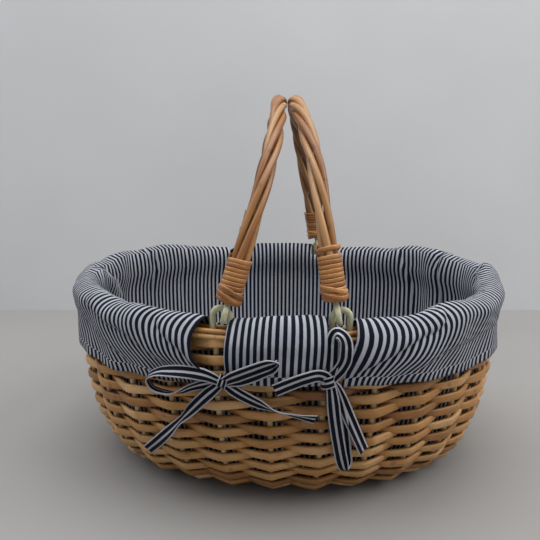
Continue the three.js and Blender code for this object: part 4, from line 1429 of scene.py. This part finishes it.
    def relief(self, run: Array, down: Array, angle: Array) -> Array:
        """How far folds and creases stand out of the cloth."""
        ends = smooth_step(np.abs(np.cos(angle)), 0.35, 0.85)
        outside = smooth_step(down, 0.002, 0.018)
        inside = smooth_step(-down, 0.012, 0.050) * smooth_step(down + 0.19, 0.0, 0.05)
        relief = self.skirt_ripple * self.ripple(run, down, (8, 34), 55.0, 4)
        relief = relief * outside * (0.35 + 0.65 * ends)
        gathers = self.bag_ripple * self.ripple(run, down, (20, 46), 9.0, 5)
        relief = relief + gathers * inside * (0.2 + ends)
        for crease in self.creases:
            relief = relief + crease.relief(run, down)
        return relief

    def grid(self) -> dict[str, Array]:
        """Works out the cloth's points.

        Returns:
            The points by column and row, their measure down the cloth, the columns' lengths along
            the rim, whether each strip of faces lies in a slot, and the directions off the cloth on
            the side that shows.
        """
        run, in_slot = self.columns()
        sections = self.sections(run)
        inner = np.linspace(0, 1, self.inner_rows + 1)
        outer = np.linspace(0, 1, self.outer_rows + 1)[1:]
        reach = []
        height = []
        down = []
        for line in sections:
            steps = distances(line)
            top = steps[np.argmax(line[:, 1])]
            skirt = steps[-1] - top
            seam = skirt - self.hem_band
            stops = np.concatenate([top * inner, top + seam * outer, top + seam + np.array([0.0003]),
                                    top + np.linspace(seam, skirt, 5)[1:]])
            reach.append(np.interp(stops, steps, line[:, 0]))
            height.append(np.interp(stops, steps, line[:, 1]))
            down.append(stops - top)
        reach = np.array(reach)
        height = np.array(height)
        down = np.array(down)
        moved = run[:, None] + self.shift(run[:, None], down)
        angle = self.form.rim_angle(moved)
        points = self.form.oval(reach, height, angle)
        around = np.roll(points, -1, axis=0) - np.roll(points, 1, axis=0)
        along = np.gradient(points, axis=1)
        normals = unit(np.cross(along, around))
        relief = self.relief(self.centred(moved), down, angle)
        relief[:, self.seam_row + 1 :] += self.hem_lift
        return {"points": points + normals * relief[..., None], "down": down, "run": run,
                "in_slot": in_slot, "normals": normals}

    def floor(self, foot: Array) -> tuple[Array, Array]:
        """Rings of points that close the bag's floor, from its edge to its middle."""
        middle = foot.mean(axis=0)
        rings = []
        for share in np.linspace(1, 0, self.floor_rings + 1)[1:-1]:
            ring = middle + (foot - middle) * share
            waves = np.sin(ring[:, 0] * 90) * np.cos(ring[:, 1] * 110)
            ring[:, 2] = self.floor_height + self.floor_ripple * waves
            rings.append(ring)
        return np.array(rings), np.array([middle[0], middle[1], self.floor_height])

    def hung_faces(self, grid: dict[str, Array]) -> tuple[list[list[int]], list[list[tuple]]]:
        """Faces of the bag's side, the fold and the skirt, and their corners' places on the cloth."""
        points, down, run, in_slot = (grid[key] for key in ("points", "down", "run", "in_slot"))
        columns, rows = points.shape[:2]
        total = self.form.rim_length
        bag_rows = int(np.searchsorted(points[0, : self.inner_rows, 2], self.form.border_top - 0.004))
        faces = []
        places = []
        for i in range(columns):
            following = (i + 1) % columns
            here = run[i]
            there = run[following] + (total if following == 0 else 0)
            last = bag_rows if in_slot[i] else rows - 1
            for k in range(last):
                faces.append([i * rows + k, following * rows + k, following * rows + k + 1, i * rows + k + 1])
                places.append([(here, down[i, k]), (there, down[following, k]),
                               (there, down[following, k + 1]), (here, down[i, k + 1])])
        return faces, places

    def floor_faces(self, points: Array, levels: list[Array]) -> tuple[list[list[int]], list[list[tuple]]]:
        """Faces between the floor's rings and round the last point, its middle, and their places."""
        faces = []
        for outer, inner in zip(levels, levels[1:]):
            for i in range(len(outer)):
                j = (i + 1) % len(outer)
                faces.append([inner[i], inner[j], outer[j], outer[i]])
        last = levels[-1]
        for i in range(len(last)):
            j = (i + 1) % len(last)
            faces.append([len(points) - 1, last[j], last[i], last[i]])
        return faces, [[tuple(points[vertex, :2]) for vertex in face] for face in faces]

    def build(self, cloth: Material, thread: Material, stitches: StitchTree) -> None:
        """Makes and settles the cloth and its hem's stitches."""
        grid = self.grid()
        hung = grid["points"]
        columns, rows = hung.shape[:2]
        rings, middle = self.floor(hung[:, 0])
        points = np.vstack([hung.reshape(-1, 3), rings.reshape(-1, 3), middle[None]])
        first = columns * rows
        levels = [np.arange(columns) * rows]
        levels += [first + ring * columns + np.arange(columns) for ring in range(len(rings))]
        faces, places = self.hung_faces(grid)
        more_faces, more_places = self.floor_faces(points, levels)
        hem = np.zeros(len(points))
        hem[:first].reshape(columns, rows)[:, self.seam_row + 1 :] = 1
        liner = surface("striped_liner", points, np.array(faces + more_faces), places + more_places,
                        cloth, {"hem": hem})
        remove_loose(liner)
        wall = liner.modifiers.new("cloth", "SOLIDIFY")
        wall.thickness = self.cloth_thickness
        wall.offset = -1
        settle(liner, "root", "liner_cloth", "liner")
        seam = self.seam_lines(grid)
        sewn = stitches.sew("hem_stitches", seam, thread, self.stitch_pitch, self.stitch_length,
                            self.stitch_thread)
        settle(sewn, "root", "liner_cloth")

    def seam_lines(self, grid: dict[str, Array]) -> list[Strand]:
        """Lines just above the hem, one for each panel of the skirt."""
        row = self.seam_row
        line = grid["points"][:, row] + grid["normals"][:, row] * (self.cloth_thickness + 0.0001)
        strands = []
        start = int(np.argmax(grid["in_slot"]))
        order = np.roll(np.arange(len(line)), -start)
        stretch: list[int] = []
        for i in [*order, order[0]]:
            stretch.append(i)
            if grid["in_slot"][i] and len(stretch) > 1:
                spot = line[stretch]
                strands.append(Strand.plain(spot, grid["normals"][stretch, row], 0.5))
            if grid["in_slot"][i]:
                stretch = []
        return [strand for strand in strands if len(strand.points) > 10]


def remove_loose(piece: Object) -> None:
    """Deletes vertices that no face uses."""
    mesh = piece.data
    used = np.zeros(len(mesh.vertices), bool)
    corners = np.zeros(len(mesh.loops), np.int32)
    mesh.loops.foreach_get("vertex_index", corners)
    used[corners] = True
    shape = bmesh.new()
    shape.from_mesh(mesh)
    shape.verts.ensure_lookup_table()
    loose = [shape.verts[int(i)] for i in np.flatnonzero(~used)]
    bmesh.ops.delete(shape, geom=loose, context="VERTS")
    shape.to_mesh(mesh)
    shape.free()


@dataclass(frozen=True)
class Stroke:
    """One run of a ribbon, by places to the right of and above its knot, off the skirt, and its roll.

    A carried run keeps its ribbon's direction across round its bends, so that it can fold back
    behind itself. The others lie along the skirt. Its pinch is how much narrower it is midway.
    """

    stops: tuple[tuple[float, float, float, float], ...]
    width: float = 0.0100
    carried: bool = False
    pinch: float = 0.0


@dataclass(frozen=True)
class Knot:
    """The turn of ribbon round a bow's middle: its lean in degrees, how low it sits and its size."""

    lean: float
    drop: float
    reach: float
    width: float
    proud: float = 0.0050
    bulge: float = 0.0036
    held: float = 0.0048


LOOSE_KNOT = Knot(18, 0.0, 0.0046, 0.0068)
TURNED_KNOT = Knot(76, 0.0022, 0.0054, 0.0092)


@dataclass
class RibbonBow:
    """A ribbon of the same stripes, tied in a bow in front of a slot."""

    form: BasketForm
    name: str
    node: str
    knot_x: float
    knot_height: float
    face: Face
    strokes: tuple[Stroke, ...]
    knot: Knot
    thickness: float = 0.0008
    cup: float = 0.0007
    pinch_reach: float = 0.035

    def on_skirt(self, across: Array, above: Array, proud: Array) -> Array:
        """Places in front of the skirt, given from the knot as seen from outside."""
        form = self.form
        x = self.knot_x - self.face.value * across
        height = self.knot_height + above
        reach = form.wall_reach(height, form.wall_thickness / 2) + proud
        angle = np.arccos(np.clip(x / reach, -1, 1))
        return form.oval(reach, height, self.face.value * angle)

    def strip(self, stroke: Stroke) -> tuple[Array, Array]:
        """Middle line of a stroke and the direction across its ribbon."""
        stops = smooth_line(np.array(stroke.stops) * (1, 1, 1, ROLL_UNIT), 72)
        middle = self.on_skirt(stops[:, 0], stops[:, 1], stops[:, 2])
        deeper = self.on_skirt(stops[:, 0], stops[:, 1], stops[:, 2] + 0.001)
        tangent = unit(np.gradient(middle, axis=0))
        outward = deeper - middle
        outward = unit(outward - tangent * np.sum(outward * tangent, axis=1, keepdims=True))
        beside = np.cross(outward, tangent)
        if stroke.carried:
            for i in range(1, len(beside)):
                carried = beside[i - 1] - tangent[i] * (beside[i - 1] @ tangent[i])
                beside[i] = carried / np.linalg.norm(carried)
            outward = np.cross(tangent, beside)
        roll = np.radians(stops[:, 3] / ROLL_UNIT)[:, None]
        return middle, beside * np.cos(roll) + outward * np.sin(roll)

    def band(self, middle: Array, across: Array, width: Array, closed: bool) -> tuple[Array, Array, list]:
        """Points, faces and cloth places of a thin cupped band along a line."""
        tangent = unit(np.gradient(middle, axis=0))
        normal = np.cross(across, tangent)
        places = np.linspace(-0.5, 0.5, 7)
        profile = [(p, self.cup * (4 * p * p) + self.thickness / 2) for p in places]
        profile += [(p, self.cup * (4 * p * p) - self.thickness / 2) for p in places[::-1]]
        along = distances(middle)
        rings = np.array([
            middle + across * (p * width)[:, None] + normal * -lift for p, lift in profile
        ]).transpose(1, 0, 2)
        count, size = rings.shape[:2]
        faces = []
        uv = []
        for i in range(count if closed else count - 1):
            j = (i + 1) % count
            for k in range(size):
                m = (k + 1) % size
                faces.append([i * size + k, i * size + m, j * size + m, j * size + k])
                end = along[j] if j else along[-1] + 0.001
                uv.append([(profile[k][0] + 0.5, along[i]), (profile[m][0] + 0.5, along[i]),
                           (profile[m][0] + 0.5, end), (profile[k][0] + 0.5, end)])
        if not closed:
            for ring, turn in ((0, 1), (count - 1, -1)):
                for k in range(size // 2 - 1):
                    face = [ring * size + k, ring * size + size - 1 - k, ring * size + size - 2 - k,
                            ring * size + k + 1]
                    faces.append(face[::turn])
                    uv.append([(0.5, 0.0)] * 4)
        return rings.reshape(-1, 3), np.array(faces), uv

    def build(self, ribbon: Material) -> None:
        """Makes and settles the bow."""
        points = []
        faces = []
        uv = []
        start = 0
        for stroke in self.strokes:
            middle, across = self.strip(stroke)
            taper = np.interp(np.linspace(0, 1, len(middle)), [0, 0.12, 0.88, 1], [0.62, 1, 1, 1])
            if np.allclose(stroke.stops[0][:2], stroke.stops[-1][:2]):
                taper = np.minimum(taper, taper[::-1])
            midway = np.exp(-((np.linspace(-0.5, 0.5, len(middle)) / self.pinch_reach) ** 2))
            width = stroke.width * taper * (1 - stroke.pinch * midway)
            more = self.band(middle, across, width, False)
            points.append(more[0])
            faces.append(more[1] + start)
            uv.extend(more[2])
            start += len(more[0])
        knot = self.knot_band()
        points.append(knot[0])
        faces.append(knot[1] + start)
        uv.extend(knot[2])
        bow = surface(self.name, np.vstack(points), np.vstack(faces), uv, ribbon,
                      {"hem": np.zeros(start + len(knot[0]))})
        settle(bow, "root", "ribbon", self.node)

    def knot_band(self) -> tuple[Array, Array, list]:
        """The short turn of ribbon round the middle of the bow."""
        knot = self.knot
        angle = np.linspace(0, TURN, 28, endpoint=False)
        lean = math.radians(knot.lean)
        above = knot.reach * np.cos(angle)
        proud = knot.proud + knot.bulge * np.sin(angle)
        middle = self.on_skirt(above * math.sin(lean) - knot.drop / 2,
                               above * math.cos(lean) - knot.drop, proud)
        held = np.array([knot.held])
        beside = self.on_skirt(np.array([math.cos(lean) * 0.001]), np.array([-math.sin(lean) * 0.001]),
                               held)
        side = unit(beside - self.on_skirt(np.zeros(1), np.zeros(1), held))
        across = np.tile(side, (len(angle), 1))
        return self.band(middle, across, np.full(len(angle), knot.width), True)


LOOSE_STROKES = (
    Stroke(((0, 0, 0.006, 0), (-0.012, 0.0055, 0.0085, 8), (-0.0254, 0.0074, 0.0105, 26),
            (-0.04, 0.0064, 0.0115, 52), (-0.052, 0.0034, 0.0115, 76), (-0.06, -0.003, 0.011, 86),
            (-0.057, -0.0105, 0.0105, 86), (-0.044, -0.0132, 0.0095, 80), (-0.035, -0.0118, 0.009, 56),
            (-0.0254, -0.0066, 0.008, 36), (-0.012, -0.002, 0.0065, 18), (0, 0, 0.006, 0))),
    Stroke(((0, 0, 0.0062, 0), (0.008, 0.0062, 0.0098, 8), (0.024, 0.0152, 0.0135, 10),
            (0.036, 0.0206, 0.0145, 24), (0.0426, 0.0218, 0.0136, 70), (0.0424, 0.0192, 0.0118, 66),
            (0.033, 0.0142, 0.0108, 14), (0.016, 0.0052, 0.0085, 8), (0, 0, 0.006, 0)), pinch=0.4),
    Stroke(((0, 0, 0.0066, 10), (-0.0134, -0.0126, 0.008, 14), (-0.0252, -0.0262, 0.0078, 36),
            (-0.0345, -0.038, 0.0074, 74), (-0.044, -0.05, 0.0068, 52), (-0.057, -0.0652, 0.0063, 16),
            (-0.0715, -0.082, 0.0064, 0))),
    Stroke(((0, 0, 0.006, 8), (0.0147, -0.0082, 0.008, 12), (0.028, -0.015, 0.008, 24),
            (0.04, -0.0206, 0.0076, 62), (0.056, -0.025, 0.0074, 50), (0.0705, -0.0285, 0.0072, 24))),
)
TURNED_STROKES = (
    Stroke(((0, 0, 0.006, 0), (0.0008, 0.008, 0.0076, 0), (0.0012, 0.018, 0.0084, 0),
            (0.0014, 0.027, 0.0092, -6), (0.0022, 0.034, 0.0106, -34), (0.0046, 0.0374, 0.0128, -58),
            (0.008, 0.0354, 0.0142, -46), (0.0106, 0.03, 0.0142, -22), (0.011, 0.023, 0.013, -8),
            (0.0104, 0.016, 0.0112, -4), (0.0068, 0.008, 0.0088, -4), (0.0006, 0, 0.0062, 0))),
    Stroke(((0, 0, 0.0062, 0), (0.002, -0.011, 0.0084, 0), (0.0048, -0.0336, 0.0092, 0),
            (0.0088, -0.058, 0.0102, 0), (0.0124, -0.076, 0.0116, 0), (0.0148, -0.0838, 0.0112, 0),
            (0.0162, -0.0846, 0.0084, 0), (0.0168, -0.082, 0.0058, 0), (0.0152, -0.07, 0.0048, 0),
            (0.0104, -0.0366, 0.0044, 0), (0.004, -0.011, 0.005, 0),
            (0, 0, 0.0056, 0)), carried=True, pinch=0.5),
    Stroke(((0, 0, 0.0056, 10), (0.0078, -0.0146, 0.0064, 0), (0.0168, -0.0372, 0.006, -20),
            (0.0292, -0.069, 0.0062, -36))),
    Stroke(((0, 0, 0.007, 0), (-0.008, 0.005, 0.0105, -6), (-0.0174, 0.0038, 0.0125, -8),
            (-0.0294, -0.001, 0.0125, -4), (-0.0403, -0.0065, 0.012, 0))),
)


@dataclass(frozen=True)
class RibbonFinish:
    """Ribbon cut from the striped cloth, its stripes along its length."""

    name: str
    navy: tuple[int, int, int] = (14, 16, 28)
    white: tuple[int, int, int] = (178, 179, 186)
    unevenness: float = 0.05

    def make(self) -> Material:
        """Builds the material."""
        material, nodes, shader = new_material(self.name)
        _, across, down = nodes.cloth_place()
        place = nodes.add("ShaderNodeCombineXYZ", {
            "X": nodes.math("MULTIPLY", across, 3.0), "Y": nodes.math("MULTIPLY", down, 180.0)}).outputs[0]
        uneven = nodes.noise(place, 1.0, 2.0)
        centred = nodes.math("SUBTRACT", uneven, 0.5)
        spot = nodes.math("ADD", across, nodes.math("MULTIPLY", centred, self.unevenness))
        white = srgb(*self.white)
        navy = srgb(*self.navy)
        ramp = nodes.ramp(spot, [(0.0, white), (0.09, white), (0.12, navy), (0.40, navy), (0.43, white),
                                 (0.58, white), (0.61, navy), (0.88, navy), (0.91, white)])
        threads = nodes.add("ShaderNodeTexWave", {
            "Vector": place, "Scale": 3.5, "Distortion": 0.4}, bands_direction="Y").outputs["Fac"]
        shade = nodes.ramp(threads, [(0.0, (0.88, 0.88, 0.88)), (1.0, (1.0, 1.0, 1.0))])
        colour = nodes.mix(1.0, ramp, shade, "MULTIPLY")
        dress(nodes, shader, colour, (threads, 0.15, 0.0003), CLOTH_GLOSS)
        return material


@dataclass(frozen=True)
class Lamp:
    """A square lamp by its place, side, power and colour."""

    name: str
    place: tuple[float, float, float]
    size: float
    power: float
    colour: tuple[float, float, float]


LAMPS = (
    Lamp("key", (1.4, -0.4, 1.5), 1.2, 21, (1.0, 0.99, 0.97)),
    Lamp("fill", (-1.4, -0.2, 1.5), 1.4, 13, (0.95, 0.98, 1.0)),
    Lamp("top", (0.0, -0.25, 2.1), 1.4, 29, (1.0, 1.0, 1.0)),
)


@dataclass(frozen=True)
class Studio:
    """The floor, the backdrop, the camera and the lights."""

    camera_place: tuple[float, float, float] = (0.0133, -0.5396, 0.3062)
    camera_pitch: float = 13.17
    camera_yaw: float = 3.08
    focal_pixels: float = 560.4
    picture_pixels: float = 540.0
    sensor: float = 36.0
    clip_start: float = 0.01
    wall_distance: float = 0.446
    panel_size: float = 5.0
    floor_colour: tuple[int, int, int] = (150, 148, 146)
    backdrop_colour: tuple[int, int, int] = (208, 209, 211)
    sky_colour: tuple[float, float, float] = (0.78, 0.80, 0.84)
    sky_strength: float = 0.33
    lamp_aim: tuple[float, float, float] = (0, 0, 0.12)

    def build(self) -> None:
        """Makes the stage, the lights and the camera."""
        floor = self.panel("floor", (0, -0.6, 0), (0, 0, 0),
                           StageFinish("floor_paint", self.floor_colour))
        turn = math.radians(self.camera_yaw)
        place = (-self.wall_distance * math.sin(turn), self.wall_distance * math.cos(turn), 0)
        wall = self.panel("backdrop", place, (math.radians(90), 0, turn),
                          StageFinish("backdrop_paint", self.backdrop_colour))
        for lamp in LAMPS:
            self.light(lamp)
        world = bpy.data.worlds.new("studio")
        world.use_nodes = True
        background = world.node_tree.nodes["Background"]
        background.inputs["Color"].default_value = (*self.sky_colour, 1)
        background.inputs["Strength"].default_value = self.sky_strength
        bpy.context.scene.world = world
        self.camera()

    def panel(self, name: str, place: tuple, turn: tuple, finish: StageFinish) -> Object:
        """Makes one flat panel of the stage."""
        mesh = bpy.data.meshes.new(name)
        half = self.panel_size / 2
        mesh.from_pydata([(-half, -half, 0), (half, -half, 0), (half, half, 0), (-half, half, 0)], [],
                         [(0, 1, 2, 3)])
        mesh.materials.append(finish.make())
        panel = new_object(name, mesh)
        panel.location = place
        panel.rotation_euler = turn
        return panel

    def light(self, lamp: Lamp) -> None:
        """Makes one lamp that faces the middle of the basket."""
        light = bpy.data.lights.new(lamp.name, "AREA")
        light.size = lamp.size
        light.energy = lamp.power
        light.color = lamp.colour
        holder = new_object(lamp.name, light)
        holder.location = lamp.place
        aim = np.array(self.lamp_aim) - np.array(lamp.place)
        flat = math.hypot(aim[0], aim[1])
        holder.rotation_euler = (math.atan2(flat, -aim[2]), 0, math.atan2(aim[1], aim[0]) - math.pi / 2)

    def camera(self) -> None:
        """Makes the camera at the photograph's viewing angle."""
        lens = bpy.data.cameras.new("camera")
        lens.sensor_width = self.sensor
        lens.lens = self.sensor * self.focal_pixels / self.picture_pixels
        lens.clip_start = self.clip_start
        camera = new_object("camera", lens)
        camera.location = self.camera_place
        camera.rotation_euler = (math.radians(90 - self.camera_pitch), 0, math.radians(self.camera_yaw))
        bpy.context.scene.camera = camera


def main() -> None:
    """Builds the basket piece by piece."""
    logging.basicConfig(level=logging.INFO, format="%(name)s: %(message)s")
    bpy.context.scene.view_settings.view_transform = "Standard"
    Studio().build()
    form = BasketForm()
    strand_tree = StrandTree()
    stitch_tree = StitchTree()
    willow = WillowFinish("willow").make()
    stake_willow = WillowFinish(
        "stake_willow", (150, 122, 82), (188, 160, 116), (214, 192, 152), roughness=0.5).make()
    handle_willow = WillowFinish(
        "handle_willow", (86, 42, 14), (142, 92, 46), (182, 140, 92), roughness=0.38, coat=0.3).make()
    split_willow = WillowFinish(
        "split_willow", (86, 44, 12), (168, 110, 54), (216, 172, 110), roughness=0.28, coat=0.4).make()
    cord = CordFinish("pale_cord").make()
    stripes = 2 * round(form.rim_length / ClothLiner.stripe_pitch / 2)
    cloth = StripedCloth("striped_cotton", form.rim_length / stripes).make()
    ribbon = RibbonFinish("striped_ribbon").make()
    thread = CordFinish("white_thread", (190, 192, 196), (214, 216, 220)).make()

    WickerBody(form).build(strand_tree, willow, stake_willow)
    RolledBorder(form).build(strand_tree, willow)
    for side, back_x in ((Side.LEFT, 0.058), (Side.RIGHT, 0.038)):
        CordRing(form, SwingHandle.ring_front_x, side, Face.FRONT).build(strand_tree, cord)
        CordRing(form, back_x, side, Face.BACK).build(strand_tree, cord)
        SwingHandle(form, side, back_x).build(strand_tree, handle_willow, split_willow, cord)
    ClothLiner(form).build(cloth, thread, stitch_tree)
    for place, x, height, face, strokes, knot in (
        ("front_left", -0.0437, 0.1276, Face.FRONT, LOOSE_STROKES, LOOSE_KNOT),
        ("front_right", 0.0367, 0.1330, Face.FRONT, TURNED_STROKES, TURNED_KNOT),
        ("back_right", 0.0420, 0.1300, Face.BACK, LOOSE_STROKES, LOOSE_KNOT),
        ("back_left", -0.0620, 0.1330, Face.BACK, TURNED_STROKES, TURNED_KNOT),
    ):
        RibbonBow(form, f"ribbon_bow_{place}", f"bow_{place}", x, height, face, strokes,
                  knot).build(ribbon)


if __name__ == "__main__":
    main()
